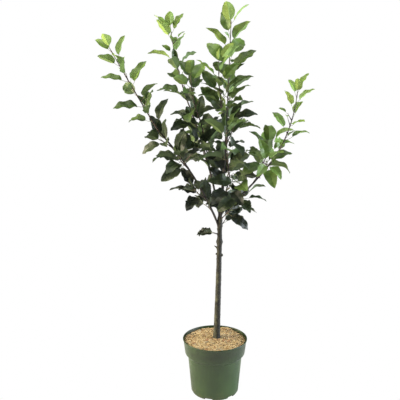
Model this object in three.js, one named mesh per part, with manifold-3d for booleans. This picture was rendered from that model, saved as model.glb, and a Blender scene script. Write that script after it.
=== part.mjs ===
// A young bush-trained apple tree in a round plastic nursery pot.
//
// Millimetres, +Z up. The origin is the centre of the pot's flat underside. Headings are degrees
// from +X towards +Y, and a lean is degrees from the vertical.
//
// The trunk and its boughs are tapering limbs. Each foliage mass is one stem that stands on a limb,
// with leaves along it on short spurs and stalks, placed by a seeded rule: every next leaf is turned
// by the golden angle, and one that would touch a limb, a stem or an earlier leaf tries a few other
// turns and is otherwise left out. Neighbouring solids keep a clearance of 0.3 mm.

import * as THREE from "three";
import { mergeVertices } from "three/addons/utils/BufferGeometryUtils.js";
import Module from "manifold-3d";

const wasm = await Module();
wasm.setup();

const clearance = 0.3;
const sliver = 0.05;

const pot = {
  height: 217,
  rimRadius: 122,
  rimHeight: 5,
  collarRadius: 120.5,
  collarFootRadius: 113.5,
  collarFoot: 160,
  bodyRadius: 102.5,
  bodyTop: 148,
  footRadius: 90,
  footHeight: 8,
  undersideRadius: 84.5,
  wall: 2,
  floor: 3,
  drainHoles: 6,
  drainHoleRadius: 5,
  drainHoleCircle: 52,
  drainHoleSides: 8,
  slots: 6,
  slotTurn: 13,
  slotWidth: 30,
  slotHeight: 9,
  slotDepth: 16,
  facets: 32,
};

const fill = {
  compostTop: 198,
  mulchEdge: 208,
  mulchHeap: 213,
  heap: { place: [46, 88], rise: 8, reach: 24 },
  chipBump: 1.8,
  mulchRings: 5,
  seed: 7,
};

const trunk = {
  foot: [6.2, 14, fill.compostTop + clearance],
  heading: 0,
  lean: [1.6, 1.0],
  length: 489,
  radius: [11.6, 7],
  flare: 2.6,
  flareHeight: 22,
  knot: { up: 394, reach: 9, radius: 3.6 },
  extraRings: [12, 32, 380, 387, 394, 401, 408],
  sides: 10,
};

// Pruned stubs on the trunk: height up the trunk, heading, lean, length beyond the bark, and radii.
const stubs = [
  { up: 340, heading: 352, lean: 72, length: 5, radius: [5.4, 4.2] },
  { up: 344, heading: 182, lean: 74, length: 4.5, radius: [4.2, 3.2] },
  { up: 364, heading: 186, lean: 50, length: 13, radius: [4.8, 1.4] },
  { up: 452, heading: 350, lean: 66, length: 2.5, radius: [3.6, 2.6] },
];
const stubSides = 6;

const boughs = {
  leader: { on: "trunk", at: 1, heading: 0, lean: [4.6, 2.6], length: 330, radius: [6, 3.4] },
  bough_left: { on: "trunk", at: 0.905, heading: 197, lean: [21, 42], length: 440, radius: [4.2, 2.7] },
  bough_inner_left: { on: "trunk", at: 0.985, heading: 145, lean: [12, 26], length: 440, radius: [4.2, 2.6] },
  bough_middle_left: {
    on: "bough_inner_left", at: 0.36, heading: 235, lean: [16, 20], length: 220, radius: [2.7, 2.1],
  },
  bough_right: { on: "leader", at: 0.04, heading: -22, lean: [49, 36], length: 300, radius: [3.6, 2.5] },
  bough_rear: { on: "trunk", at: 0.95, heading: 78, lean: [34, 14], length: 270, radius: [3.5, 2.4] },
  bough_front: { on: "leader", at: 0.14, heading: -75, lean: [50, 26], length: 160, radius: [3.0, 2.2] },
};
const boughSteps = 8;
const boughSides = 8;

const stem = {
  longRadius: 2.5,
  shortRadius: 1.9,
  tipRadius: 1.3,
  longFrom: 130,
  step: 40,
  sides: 4,
};

const leafForm = {
  stalk: 26,
  stalkRadius: 0.85,
  rootRadius: 1,
  width: 0.5,
  thickness: 0.012,
  stations: [0.24, 0.64],
  fold: 20,
  rise: 10,
  tipSpread: 0.62,
  tipArch: 0.55,
  tuftGap: 7,
};

// How far each leaf may differ from the sizes of its shoot, either way.
const leafVariety = {
  spread: 9,
  stalk: 0.25,
  roll: 48,
  length: 0.1,
  width: 0.05,
  rise: 8,
  arch: 0.35,
  fold: 9,
  twist: 22,
  turn: 10,
};

const goldenAngle = 137.5;
const otherTurns = [0, 25, -25, 50, -50, 80, -80];
const seedStep = 7919;

const shoots = {
  leaves_leader_top: {
    on: "leader", at: 1, heading: 0, lean: [2, 2], length: 369,
    leaves: 18, leaf: 96, droop: 38, spread: 58, turn: 255, seed: 48,
  },
  leaves_leader_side: {
    on: "leader", at: 0.93, heading: 250, lean: [34, 6], length: 275,
    leaves: 12, leaf: 88, droop: 42, spread: 58, turn: 315, seed: 63,
  },
  leaves_leader_left: {
    on: "leader", at: 0.55, heading: 160, lean: [51, 29], length: 140,
    leaves: 11, leaf: 90, droop: 84, spread: 62, turn: 135, seed: 20,
  },
  leaves_leader_right: {
    on: "leader", at: 0.78, heading: -55, lean: [30, 34], length: 90,
    leaves: 6, leaf: 92, droop: 62, spread: 62, turn: 255, seed: 2,
  },
  leaves_leader_low: {
    on: "leader", at: 0.34, heading: 45, lean: [38, 22], length: 80,
    leaves: 7, leaf: 104, droop: 53, spread: 62, turn: 210, seed: 85,
  },
  leaves_left_tip: {
    on: "bough_left", at: 1, heading: 197, lean: [31, 29], length: 325,
    leaves: 17, leaf: 84, droop: 45, spread: 58, turn: 90, seed: 6,
  },
  leaves_left_middle: {
    on: "bough_left", at: 0.8, heading: 185, lean: [49, 60], length: 60,
    leaves: 6, leaf: 90, droop: 66, spread: 62, turn: 0, seed: 71,
  },
  leaves_left_low: {
    on: "bough_left", at: 0.6, heading: 235, lean: [58, 41], length: 80,
    leaves: 8, leaf: 98, droop: 73, spread: 64, turn: 255, seed: 75,
  },
  leaves_left_inner: {
    on: "bough_left", at: 0.66, heading: -35, lean: [45, 44], length: 80,
    leaves: 6, leaf: 88, droop: 58, spread: 60, turn: 45, seed: 2,
  },
  leaves_left_foot: {
    on: "bough_left", at: 0.3, heading: 205, lean: [62, 42], length: 60,
    leaves: 6, leaf: 94, droop: 64, spread: 64, turn: 180, seed: 78,
  },
  leaves_left_base: {
    on: "bough_left", at: 0.17, heading: 140, lean: [52, 69], length: 40,
    leaves: 2, leaf: 98, droop: 46, spread: 60, turn: 75, seed: 45,
  },
  leaves_inner_left_tip: {
    on: "bough_inner_left", at: 1, heading: 145, lean: [24, 9], length: 275,
    leaves: 13, leaf: 90, droop: 42, spread: 58, turn: 195, seed: 67,
  },
  leaves_inner_left_side: {
    on: "bough_inner_left", at: 0.76, heading: 255, lean: [50, 46], length: 80,
    leaves: 8, leaf: 92, droop: 54, spread: 62, turn: 120, seed: 62,
  },
  leaves_inner_left_low: {
    on: "bough_inner_left", at: 0.48, heading: 110, lean: [69, 22], length: 100,
    leaves: 7, leaf: 104, droop: 45, spread: 62, turn: 45, seed: 86,
  },
  leaves_middle_left_tip: {
    on: "bough_middle_left", at: 1, heading: 230, lean: [34, 3], length: 170,
    leaves: 12, leaf: 88, droop: 56, spread: 60, turn: 15, seed: 64,
  },
  leaves_middle_left_low: {
    on: "bough_middle_left", at: 0.5, heading: 255, lean: [31, 26], length: 90,
    leaves: 6, leaf: 86, droop: 48, spread: 62, turn: 15, seed: 2,
  },
  leaves_right_tip: {
    on: "bough_right", at: 1, heading: -22, lean: [31, 5], length: 240,
    leaves: 11, leaf: 74, droop: 52, spread: 58, turn: 30, seed: 17,
  },
  leaves_right_inner: {
    on: "bough_right", at: 0.6, heading: 40, lean: [40, 20], length: 160,
    leaves: 12, leaf: 96, droop: 82, spread: 60, turn: 90, seed: 77,
  },
  leaves_right_low: {
    on: "bough_right", at: 0.84, heading: -95, lean: [66, 63], length: 80,
    leaves: 8, leaf: 86, droop: 80, spread: 62, turn: 285, seed: 28,
  },
  leaves_right_middle: {
    on: "bough_right", at: 0.5, heading: -125, lean: [70, 62], length: 90,
    leaves: 4, leaf: 104, droop: 41, spread: 62, turn: 240, seed: 79,
  },
  leaves_right_foot: {
    on: "bough_right", at: 0.22, heading: -30, lean: [66, 42], length: 55,
    leaves: 6, leaf: 84, droop: 84, spread: 62, turn: 30, seed: 41,
  },
  leaves_rear_tip: {
    on: "bough_rear", at: 1, heading: 63, lean: [19, -4], length: 225,
    leaves: 11, leaf: 98, droop: 43, spread: 60, turn: 255, seed: 1,
  },
  leaves_rear_low: {
    on: "bough_rear", at: 0.55, heading: 95, lean: [44, 27], length: 80,
    leaves: 7, leaf: 102, droop: 37, spread: 62, turn: 285, seed: 9,
  },
  leaves_front_tip: {
    on: "bough_front", at: 1, heading: -105, lean: [29, 9], length: 180,
    leaves: 9, leaf: 102, droop: 62, spread: 60, turn: 225, seed: 34,
  },
  leaves_front_low: {
    on: "bough_front", at: 0.45, heading: -80, lean: [51, 72], length: 75,
    leaves: 7, leaf: 100, droop: 79, spread: 64, turn: 210, seed: 89,
  },
  leaves_trunk_right: {
    on: "trunk", at: 0.975, heading: -45, lean: [47, 45], length: 80,
    leaves: 7, leaf: 84, droop: 82, spread: 64, turn: 0, seed: 64,
  },
  leaves_trunk_foot_left: {
    on: "trunk", at: 0.86, heading: 205, lean: [66, 65], length: 30,
    leaves: 2, leaf: 84, droop: 76, spread: 40, turn: 210, seed: 27,
  },
  leaves_trunk_foot_right: {
    on: "trunk", at: 0.93, heading: 30, lean: [64, 30], length: 32,
    leaves: 2, leaf: 104, droop: 84, spread: 30, turn: 300, seed: 46,
  },
};

function radians(degrees) {
  return (degrees * Math.PI) / 180;
}

function mix(low, high, t) {
  return low + (high - low) * t;
}

function seededRandom(seed) {
  let state = seed >>> 0;
  return function next() {
    state = (state + 0x6d2b79f5) >>> 0;
    let t = state;
    t = Math.imul(t ^ (t >>> 15), t | 1);
    t ^= t + Math.imul(t ^ (t >>> 7), t | 61);
    return ((t ^ (t >>> 14)) >>> 0) / 4294967296;
  };
}

function vector(x, y, z) {
  return new THREE.Vector3(x, y, z);
}

function direction(lean, heading) {
  const level = Math.sin(radians(lean));
  const angle = radians(heading);
  return vector(level * Math.cos(angle), level * Math.sin(angle), Math.cos(radians(lean)));
}

function turned(v, axis, degrees) {
  return v.clone().applyAxisAngle(axis, radians(degrees));
}

// ---- Limbs and stems ----

// A limb keeps one heading while its lean changes evenly, so it lies in one upright plane.
function makeLimb(start, sizes, steps) {
  const points = [start];
  for (let i = 0; i < steps; i += 1) {
    const lean = mix(sizes.lean[0], sizes.lean[1], (i + 0.5) / steps);
    const next = points[i].clone().addScaledVector(direction(lean, sizes.heading), sizes.length / steps);
    points.push(next);
  }
  const heading = radians(sizes.heading);
  return { ...sizes, steps, points, side: vector(-Math.sin(heading), Math.cos(heading), 0) };
}

function pointOn(limb, f) {
  const x = f * limb.steps;
  const i = Math.min(Math.floor(x), limb.steps - 1);
  return limb.points[i].clone().lerp(limb.points[i + 1], x - i);
}

function alongAt(limb, f) {
  return direction(mix(limb.lean[0], limb.lean[1], f), limb.heading);
}

// The trunk is thicker at its root flare and at a knot.
function radiusAt(limb, f) {
  const even = mix(limb.radius[0], limb.radius[1], f);
  if (!limb.knot) {
    return even;
  }
  const up = f * limb.length;
  const { knot, flare, flareHeight } = limb;
  const swelling = knot.radius * Math.exp(-(((up - knot.up) / knot.reach) ** 2));
  return even + flare * Math.exp(-up / flareHeight) + swelling;
}

function growLimbs() {
  const limbs = { trunk: makeLimb(vector(...trunk.foot), trunk, boughSteps) };
  for (const [name, sizes] of Object.entries(boughs)) {
    limbs[name] = makeLimb(pointOn(limbs[sizes.on], sizes.at), sizes, boughSteps);
  }
  return limbs;
}

function growStems(limbs) {
  const stems = {};
  for (const [name, sizes] of Object.entries(shoots)) {
    const low = sizes.length < stem.longFrom ? stem.shortRadius : stem.longRadius;
    const steps = Math.max(2, Math.floor(sizes.length / stem.step));
    const start = pointOn(limbs[sizes.on], sizes.at);
    stems[name] = makeLimb(start, { ...sizes, radius: [low, stem.tipRadius] }, steps);
  }
  return stems;
}

// ---- Leaves ----

const spineSteps = 12;
const probeStations = [0.08, 0.22, 0.36, 0.5, 0.64, 0.78, 0.93];
const probeWidths = [0.42, 0.84];
const leafRoom = 13;
const limbRoom = 6;
const ownLimbRoom = 5;

function bladeWidth(s) {
  return s > 0 && s < 1 ? 2.42 * s ** 0.55 * (1 - s) ** 0.75 : 0;
}

function bendAt(leaf, s) {
  return leaf.arch * s ** 1.2 - leaf.rise * (1 - s);
}

// A leaf's midrib starts a little raised and arches down towards its tip.
function makeLeaf(carrier, f, turn, size, sizes, draws) {
  const root = pointOn(carrier, f);
  const along = alongAt(carrier, f);
  const other = along.clone().cross(carrier.side);
  const out = carrier.side.clone().multiplyScalar(Math.cos(radians(turn)));
  out.addScaledVector(other, Math.sin(radians(turn)));
  const spread = radians(sizes.spread * mix(1, leafForm.tipSpread, f * f) + draws[0] * leafVariety.spread);
  const towards = along.clone().multiplyScalar(Math.cos(spread)).addScaledVector(out, Math.sin(spread));
  const stalk = leafForm.stalk * size * (1 + leafVariety.stalk * draws[1]);
  const foot = root.clone().addScaledVector(towards, radiusAt(carrier, f) + stalk);
  const up = vector(0, 0, 0.75).addScaledVector(along, 0.35).addScaledVector(out, -0.3);
  up.addScaledVector(towards, -up.dot(towards)).normalize();
  const face = turned(up, towards, draws[2] * leafVariety.roll);
  const length = sizes.leaf * size * (1 + leafVariety.length * draws[3]);
  const leaf = {
    root,
    foot,
    towards,
    face,
    across: face.clone().cross(towards),
    length,
    width: length * (leafForm.width + leafVariety.width * draws[4]),
    rise: leafForm.rise + leafVariety.rise * draws[5],
    arch: sizes.droop * mix(1, leafForm.tipArch, f) * (1 + leafVariety.arch * draws[6]),
    fold: leafForm.fold + leafVariety.fold * draws[7],
    twist: leafVariety.twist * draws[8],
  };
  leaf.spine = [foot];
  for (let i = 0; i < spineSteps; i += 1) {
    const ahead = turned(towards, leaf.across, bendAt(leaf, (i + 0.5) / spineSteps));
    leaf.spine.push(leaf.spine[i].clone().addScaledVector(ahead, length / spineSteps));
  }
  leaf.probes = probesOf(leaf);
  return leaf;
}

// The midrib, both edges and the upward normal of the blade at a share s of its length.
function bladeRow(leaf, s) {
  const x = s * spineSteps;
  const i = Math.min(Math.floor(x), spineSteps - 1);
  const middle = leaf.spine[i].clone().lerp(leaf.spine[i + 1], x - i);
  const bend = bendAt(leaf, s);
  const ahead = turned(leaf.towards, leaf.across, bend);
  const across = turned(leaf.across, ahead, leaf.twist * s);
  const normal = turned(turned(leaf.face, leaf.across, bend), ahead, leaf.twist * s);
  const half = (leaf.width / 2) * bladeWidth(s);
  const lift = half * Math.sin(radians(leaf.fold));
  const reach = half * Math.cos(radians(leaf.fold));
  const left = middle.clone().addScaledVector(across, reach).addScaledVector(normal, lift);
  const right = middle.clone().addScaledVector(across, -reach).addScaledVector(normal, lift);
  return { middle, left, right, normal };
}

// Points spread over the blade and its stalk, close enough together to find what would touch it.
function probesOf(leaf) {
  const probes = [];
  for (const s of probeStations) {
    const row = bladeRow(leaf, s);
    probes.push(row.middle);
    for (const w of probeWidths) {
      probes.push(row.middle.clone().lerp(row.left, w), row.middle.clone().lerp(row.right, w));
    }
  }
  probes.push(leaf.root.clone().lerp(leaf.foot, 0.55), leaf.foot);
  return probes;
}

function distanceToSegment(point, start, end) {
  const along = end.clone().sub(start);
  const t = THREE.MathUtils.clamp(point.clone().sub(start).dot(along) / along.lengthSq(), 0, 1);
  return point.distanceTo(start.clone().addScaledVector(along, t));
}

function clearsLimb(probes, limb, room) {
  for (let i = 0; i < limb.steps; i += 1) {
    const [start, end] = [limb.points[i], limb.points[i + 1]];
    if (probes.some((probe) => distanceToSegment(probe, start, end) < room(i))) {
      return false;
    }
  }
  return true;
}

function hasRoom(leaf, name, sizes, carriers, earlier) {
  const blade = leaf.probes.slice(0, -2);
  for (const [other, limb] of Object.entries(carriers)) {
    const thick = (i) => mix(limb.radius[0], limb.radius[1], i / limb.steps);
    if (other === name && !clearsLimb(blade, limb, () => limbRoom)) {
      return false;
    }
    if (other === sizes.on && !clearsLimb(blade, limb, (i) => thick(i) + ownLimbRoom)) {
      return false;
    }
    const isAnother = other !== name && other !== sizes.on;
    if (isAnother && !clearsLimb(leaf.probes, limb, (i) => thick(i) + limbRoom)) {
      return false;
    }
  }
  const reach = (one) => one.length + leaf.length + 2 * leafForm.stalk;
  const near = earlier.filter((one) => one.foot.distanceTo(leaf.foot) < reach(one));
  return !near.some((one) => one.probes.some((a) => leaf.probes.some((b) => a.distanceTo(b) < leafRoom)));
}

// Leaves stand evenly along a stem, and a few close together at its tip.
function leafPlaces(sizes) {
  const isLong = sizes.length >= stem.longFrom;
  const tuft = isLong ? 3 : 2 * (sizes.leaves > 3);
  const body = sizes.leaves - tuft;
  const first = sizes.at < 1 ? 0.34 : 0.06;
  const last = tuft > 0 ? 0.86 : 1;
  const places = [];
  for (let i = 0; i < body; i += 1) {
    places.push(mix(first, last, i / Math.max(1, body - 1)));
  }
  for (let i = 0; i < tuft; i += 1) {
    places.push(1 - ((tuft - 1 - i) * leafForm.tuftGap) / sizes.length);
  }
  return places;
}

function leafSize(sizes, f) {
  if (sizes.length < stem.longFrom) {
    return mix(1, 0.84, f);
  }
  return f < 0.3 ? mix(0.9, 1, f / 0.3) : mix(1, 0.78, ((f - 0.3) / 0.7) ** 1.5);
}

function growLeaves(name, carriers, earlier) {
  const sizes = shoots[name];
  const random = seededRandom(sizes.seed * seedStep);
  const leaves = [];
  leafPlaces(sizes).forEach((f, i) => {
    const draws = Array.from({ length: 9 }, () => random() * 2 - 1);
    for (const otherTurn of otherTurns) {
      const turn = sizes.turn + i * goldenAngle + draws[1] * leafVariety.turn + otherTurn;
      const leaf = makeLeaf(carriers[name], f, turn, leafSize(sizes, f), sizes, draws);
      if (hasRoom(leaf, name, sizes, carriers, [...earlier, ...leaves])) {
        leaves.push(leaf);
        return;
      }
    }
  });
  return leaves;
}

// ---- Solids ----

function toSolid(geometry) {
  const bare = geometry.index ? geometry.clone() : mergeVertices(geometry);
  bare.deleteAttribute("normal");
  bare.deleteAttribute("uv");
  const merged = mergeVertices(bare);
  return new wasm.Manifold(new wasm.Mesh({
    numProp: 3,
    vertProperties: new Float32Array(merged.attributes.position.array),
    triVerts: new Uint32Array(merged.index.array),
  }));
}

function toGeometry(solid) {
  const mesh = solid.asOriginal().simplify(sliver).getMesh();
  const geometry = new THREE.BufferGeometry();
  geometry.setAttribute("position", new THREE.BufferAttribute(mesh.vertProperties, 3));
  geometry.setIndex(new THREE.BufferAttribute(mesh.triVerts, 1));
  geometry.computeVertexNormals();
  return geometry;
}

// A cylinder's wall splits all its quads alike. Here those of its second half, a blade's underside,
// are split the other way, as the upper side is seen from below, so a thin twisted blade keeps its
// thickness. The ring of triangles at the pointed end stays.
function splitUndersideAsTop(shape, sides, rings) {
  const row = sides + 1;
  const { index } = shape;
  for (let i = 0; i < index.count; i += 3) {
    const [first, last] = [index.getX(i), index.getX(i + 2)];
    const isWall = first < row * (rings + 1) && index.getX(i + 1) < row * (rings + 1);
    if (isWall && first % row >= sides / 2 && last >= row) {
      const isFarTriangle = Math.floor(first / row) === Math.floor(last / row);
      index.setX(isFarTriangle ? i + 2 : i, isFarTriangle ? last + row : first - row);
    }
  }
}

// A cylinder whose rings are moved to the given sections. Each section is a list of points, the
// first on the left and the second above, and a last section of equal points makes a pointed end.
function loft(sections, isPointed) {
  const sides = sections[0].length;
  const rings = sections.length - 1;
  const shape = new THREE.CylinderGeometry(isPointed ? 0 : 1, 1, 1, sides, rings);
  if (isPointed) {
    splitUndersideAsTop(shape, sides, rings);
  }
  const position = shape.attributes.position;
  const unmoved = position.clone();
  for (let i = 0; i < position.count; i += 1) {
    const section = sections[Math.round((unmoved.getY(i) + 0.5) * rings)];
    const [x, z] = [unmoved.getX(i), unmoved.getZ(i)];
    const isMiddle = Math.hypot(x, z) < 1e-6;
    const corner = (Math.round((Math.atan2(x, z) / (2 * Math.PI)) * sides) + sides) % sides;
    const centre = vector(0, 0, 0);
    section.forEach((point) => centre.addScaledVector(point, 1 / sides));
    const place = isMiddle ? centre : section[corner];
    position.setXYZ(i, place.x, place.y, place.z);
  }
  return toSolid(shape);
}

function ringAround(centre, along, side, radius, sides) {
  const other = along.clone().cross(side);
  return Array.from({ length: sides }, (_, k) => {
    const angle = (2 * Math.PI * k) / sides;
    const point = centre.clone().addScaledVector(side, radius * Math.cos(angle));
    return point.addScaledVector(other, radius * Math.sin(angle));
  });
}

// The first ring of a limb that stands on another's tip lies a clearance beyond it, and the trunk's
// first ring is level. A grown limb is thicker and longer at both ends.
function limbSolid(limb, sides, grown = 0) {
  const shares = Array.from({ length: limb.steps + 1 }, (_, i) => i / limb.steps);
  const extra = (limb.extraRings ?? []).map((up) => up / limb.length);
  const sections = [...shares, ...extra].sort((a, b) => a - b).map((f) => {
    const along = limb.extraRings && f === 0 ? vector(0, 0, 1) : alongAt(limb, f);
    const gap = f === 0 && limb.at === 1 ? clearance : 0;
    const centre = pointOn(limb, f).addScaledVector(along, gap + grown * ((f === 1) - (f === 0)));
    return ringAround(centre, along, limb.side, radiusAt(limb, f) + grown, sides);
  });
  return loft(sections, false);
}

function boxesMeet(a, b) {
  return [0, 1, 2].every((k) => a.min[k] < b.max[k] && b.min[k] < a.max[k]);
}

// Cuts a solid back from its neighbours, which are given a clearance larger, and keeps its main body.
function cutClear(solid, neighbours) {
  let cut = solid;
  for (const neighbour of neighbours) {
    if (boxesMeet(cut.boundingBox(), neighbour.boundingBox())) {
      cut = cut.subtract(neighbour);
    }
  }
  const bodies = cut.decompose();
  return bodies.reduce((best, body) => (body.volume() > best.volume() ? body : best));
}

function leafSolid(leaf) {
  const { rootRadius, stalkRadius } = leafForm;
  const other = leaf.towards.clone().cross(leaf.across);
  const sections = [
    ringAround(leaf.root, leaf.towards, leaf.across, rootRadius, 4),
    ringAround(leaf.foot, leaf.towards, leaf.across, stalkRadius, 4),
  ];
  const half = (leaf.length * leafForm.thickness) / 2;
  for (const s of leafForm.stations) {
    const { middle, left, right, normal } = bladeRow(leaf, s);
    const above = middle.clone().addScaledVector(normal, half);
    const below = middle.clone().addScaledVector(normal, -half);
    sections.push([left, above, right, below]);
  }
  const tip = bladeRow(leaf, 1).middle;
  sections.push([tip, tip, tip, tip]);
  return loft(sections, true);
}

// ---- The pot and its filling ----

function outerRadius(z) {
  return z < pot.bodyTop
    ? mix(pot.footRadius, pot.bodyRadius, (z - pot.footHeight) / (pot.bodyTop - pot.footHeight))
    : mix(pot.collarFootRadius, pot.collarRadius, (z - pot.collarFoot) / (pot.height - pot.collarFoot));
}

function innerRadius(z) {
  return outerRadius(z) - pot.wall;
}

function spun(profile, facets) {
  const points = profile.map(([radius, z]) => new THREE.Vector2(radius, z));
  return toSolid(new THREE.LatheGeometry(points, facets).rotateX(Math.PI / 2));
}

function potSolid() {
  const { height, rimRadius, rimHeight, bodyTop, collarFoot, floor, wall } = pot;
  const shell = spun([
    [0, 0],
    [pot.undersideRadius, 0],
    [pot.footRadius, pot.footHeight],
    [pot.bodyRadius, bodyTop],
    [pot.collarFootRadius, collarFoot],
    [pot.collarRadius, height - rimHeight],
    [rimRadius, height - rimHeight],
    [rimRadius, height - 1],
    [rimRadius - 1, height],
    [pot.collarRadius - wall, height],
    [innerRadius(collarFoot), collarFoot],
    [pot.bodyRadius - wall, bodyTop],
    [pot.footRadius - wall, pot.footHeight + wall],
    [pot.undersideRadius - wall, floor],
    [0, floor],
  ], pot.facets);
  const cutters = [];
  for (let i = 0; i < pot.drainHoles; i += 1) {
    const hole = new THREE.CylinderGeometry(
      pot.drainHoleRadius, pot.drainHoleRadius, 3 * floor, pot.drainHoleSides,
    );
    hole.rotateX(Math.PI / 2).translate(pot.drainHoleCircle, 0, floor / 2);
    cutters.push(toSolid(hole.rotateZ(radians((360 * i) / pot.drainHoles))));
  }
  for (let i = 0; i < pot.slots; i += 1) {
    const slot = new THREE.BoxGeometry(pot.slotDepth, pot.slotWidth, 2 * pot.slotHeight);
    slot.translate(pot.undersideRadius, 0, 0);
    cutters.push(toSolid(slot.rotateZ(radians(pot.slotTurn + (360 * i) / pot.slots))));
  }
  return shell.subtract(wasm.Manifold.union(cutters));
}

function compostSolid() {
  const { bodyTop, collarFoot, floor, wall } = pot;
  const top = fill.compostTop;
  return spun([
    [0, floor + clearance],
    [pot.undersideRadius - wall - clearance, floor + clearance],
    [pot.footRadius - wall - clearance, pot.footHeight + wall],
    [pot.bodyRadius - wall - clearance, bodyTop],
    [innerRadius(collarFoot) - clearance, collarFoot],
    [innerRadius(top) - clearance, top],
    [0, top],
  ], pot.facets);
}

// A bed of wood chips: level at the wall, heaped towards the trunk and at one place behind it, and
// uneven on top.
function mulchSolid() {
  const { mulchEdge, mulchHeap, mulchRings } = fill;
  const foot = fill.compostTop + clearance;
  const profile = [[0, foot], [innerRadius(foot) - clearance, foot]];
  for (let i = 0; i < mulchRings; i += 1) {
    const share = 1 - i / mulchRings;
    const edge = innerRadius(mulchEdge) - 2 * clearance;
    profile.push([edge * share, mix(mulchHeap, mulchEdge, share * share)]);
  }
  profile.push([0, mulchHeap]);
  const points = profile.map(([radius, z]) => new THREE.Vector2(radius, z));
  const lathe = new THREE.LatheGeometry(points, pot.facets);
  const bed = mergeVertices(lathe.deleteAttribute("normal").deleteAttribute("uv"));
  const random = seededRandom(fill.seed);
  const position = bed.attributes.position;
  for (let i = 0; i < position.count; i += 1) {
    const bump = (random() * 2 - 1) * fill.chipBump;
    const [x, y] = fill.heap.place;
    const away = Math.hypot(position.getX(i) - x, -position.getZ(i) - y) / fill.heap.reach;
    if (position.getY(i) > foot + 1) {
      position.setY(i, position.getY(i) + bump + fill.heap.rise * Math.exp(-away * away));
    }
  }
  return toSolid(bed.rotateX(Math.PI / 2));
}

function trunkSolid(limb) {
  const parts = [limbSolid(limb, trunk.sides)];
  for (const { up, heading, lean, length, radius } of stubs) {
    const f = up / limb.length;
    const start = pointOn(limb, f);
    const along = direction(lean, heading);
    const reach = radiusAt(limb, f) / Math.sin(radians(lean)) + length;
    const side = direction(90, heading + 90);
    const end = start.clone().addScaledVector(along, reach);
    parts.push(loft([
      ringAround(start, along, side, radius[0], stubSides),
      ringAround(end, along, side, radius[1], stubSides),
    ], false));
  }
  return wasm.Manifold.union(parts);
}

// ---- Assembly ----

function plastic(color) {
  return new THREE.MeshStandardMaterial({ color, roughness: 0.45, metalness: 0 });
}

function natural(color) {
  return new THREE.MeshStandardMaterial({ color, roughness: 0.85, metalness: 0 });
}

const finishes = {
  pot: plastic("#55774f"),
  compost: natural("#2e241c"),
  wood_chips: natural("#b08a5e"),
  bark: natural("#5b5348"),
  leaves: natural("#557f3c"),
};

const tree = new THREE.Group();

function addNode(name, solid, finish) {
  const mesh = new THREE.Mesh(toGeometry(solid), finishes[finish]);
  mesh.name = name;
  tree.add(mesh);
}

const limbs = growLimbs();
const stems = growStems(limbs);
const carriers = { ...limbs, ...stems };

// Each limb is cut clear of the ones before it, by copies of them that are a clearance thicker.
const thickerLimbs = [];
for (const [name, limb] of Object.entries(limbs)) {
  const sides = name === "trunk" ? trunk.sides : boughSides;
  const solid = name === "trunk" ? trunkSolid(limb) : limbSolid(limb, sides);
  addNode(name, cutClear(solid, thickerLimbs), "bark");
  thickerLimbs.push(limbSolid(limb, sides, clearance / Math.cos(Math.PI / sides)));
}

addNode("pot", potSolid(), "pot");
addNode("compost", compostSolid(), "compost");
addNode("wood_chips", cutClear(mulchSolid(), thickerLimbs.slice(0, 1)), "wood_chips");

const leavesSoFar = [];
for (const name of Object.keys(shoots)) {
  const leaves = growLeaves(name, carriers, leavesSoFar);
  leavesSoFar.push(...leaves);
  const stemSolid = limbSolid(stems[name], stem.sides);
  const mass = wasm.Manifold.union([stemSolid, ...leaves.map(leafSolid)]);
  addNode(name, cutClear(mass, thickerLimbs), "leaves");
}

export default tree;
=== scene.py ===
import math
import random

import bmesh
import bpy
import numpy as np
from mathutils import Matrix, Vector, noise


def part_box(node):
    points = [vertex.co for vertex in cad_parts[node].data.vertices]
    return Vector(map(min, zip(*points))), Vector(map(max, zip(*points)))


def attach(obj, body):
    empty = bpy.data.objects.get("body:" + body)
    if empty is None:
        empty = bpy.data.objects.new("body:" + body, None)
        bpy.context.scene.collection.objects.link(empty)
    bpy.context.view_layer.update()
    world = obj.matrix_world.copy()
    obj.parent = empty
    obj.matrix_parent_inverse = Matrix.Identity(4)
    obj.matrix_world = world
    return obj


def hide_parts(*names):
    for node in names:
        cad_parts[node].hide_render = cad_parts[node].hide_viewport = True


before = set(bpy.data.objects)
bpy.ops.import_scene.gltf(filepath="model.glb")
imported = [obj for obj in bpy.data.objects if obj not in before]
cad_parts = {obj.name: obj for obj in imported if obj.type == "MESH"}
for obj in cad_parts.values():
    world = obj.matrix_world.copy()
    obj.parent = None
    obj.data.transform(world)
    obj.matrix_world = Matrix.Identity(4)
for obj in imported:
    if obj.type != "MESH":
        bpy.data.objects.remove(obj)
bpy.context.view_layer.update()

# A young bush-trained apple tree in a round nursery pot. Growth is worked out in millimetres and
# meshes are written in metres. Headings are degrees from +X towards +Y, leans from the vertical.

mm = 0.001
print("frame loaded")


# camera

camera = dict(place=(-0.057, -2.6, 1.3528), downTilt=12.9655, lens=65.946, sensor=36)


def addCamera():
    data = bpy.data.cameras.new("camera")
    data.lens = camera["lens"]
    data.sensor_width = camera["sensor"]
    held = bpy.data.objects.new("camera", data)
    held.location = camera["place"]
    held.rotation_euler = (math.radians(90 - camera["downTilt"]), 0, 0)
    bpy.context.scene.collection.objects.link(held)
    bpy.context.scene.camera = held


addCamera()


# sizes of the tree, as it grows: limbs first, then the leafy shoots that stand on them

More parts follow.
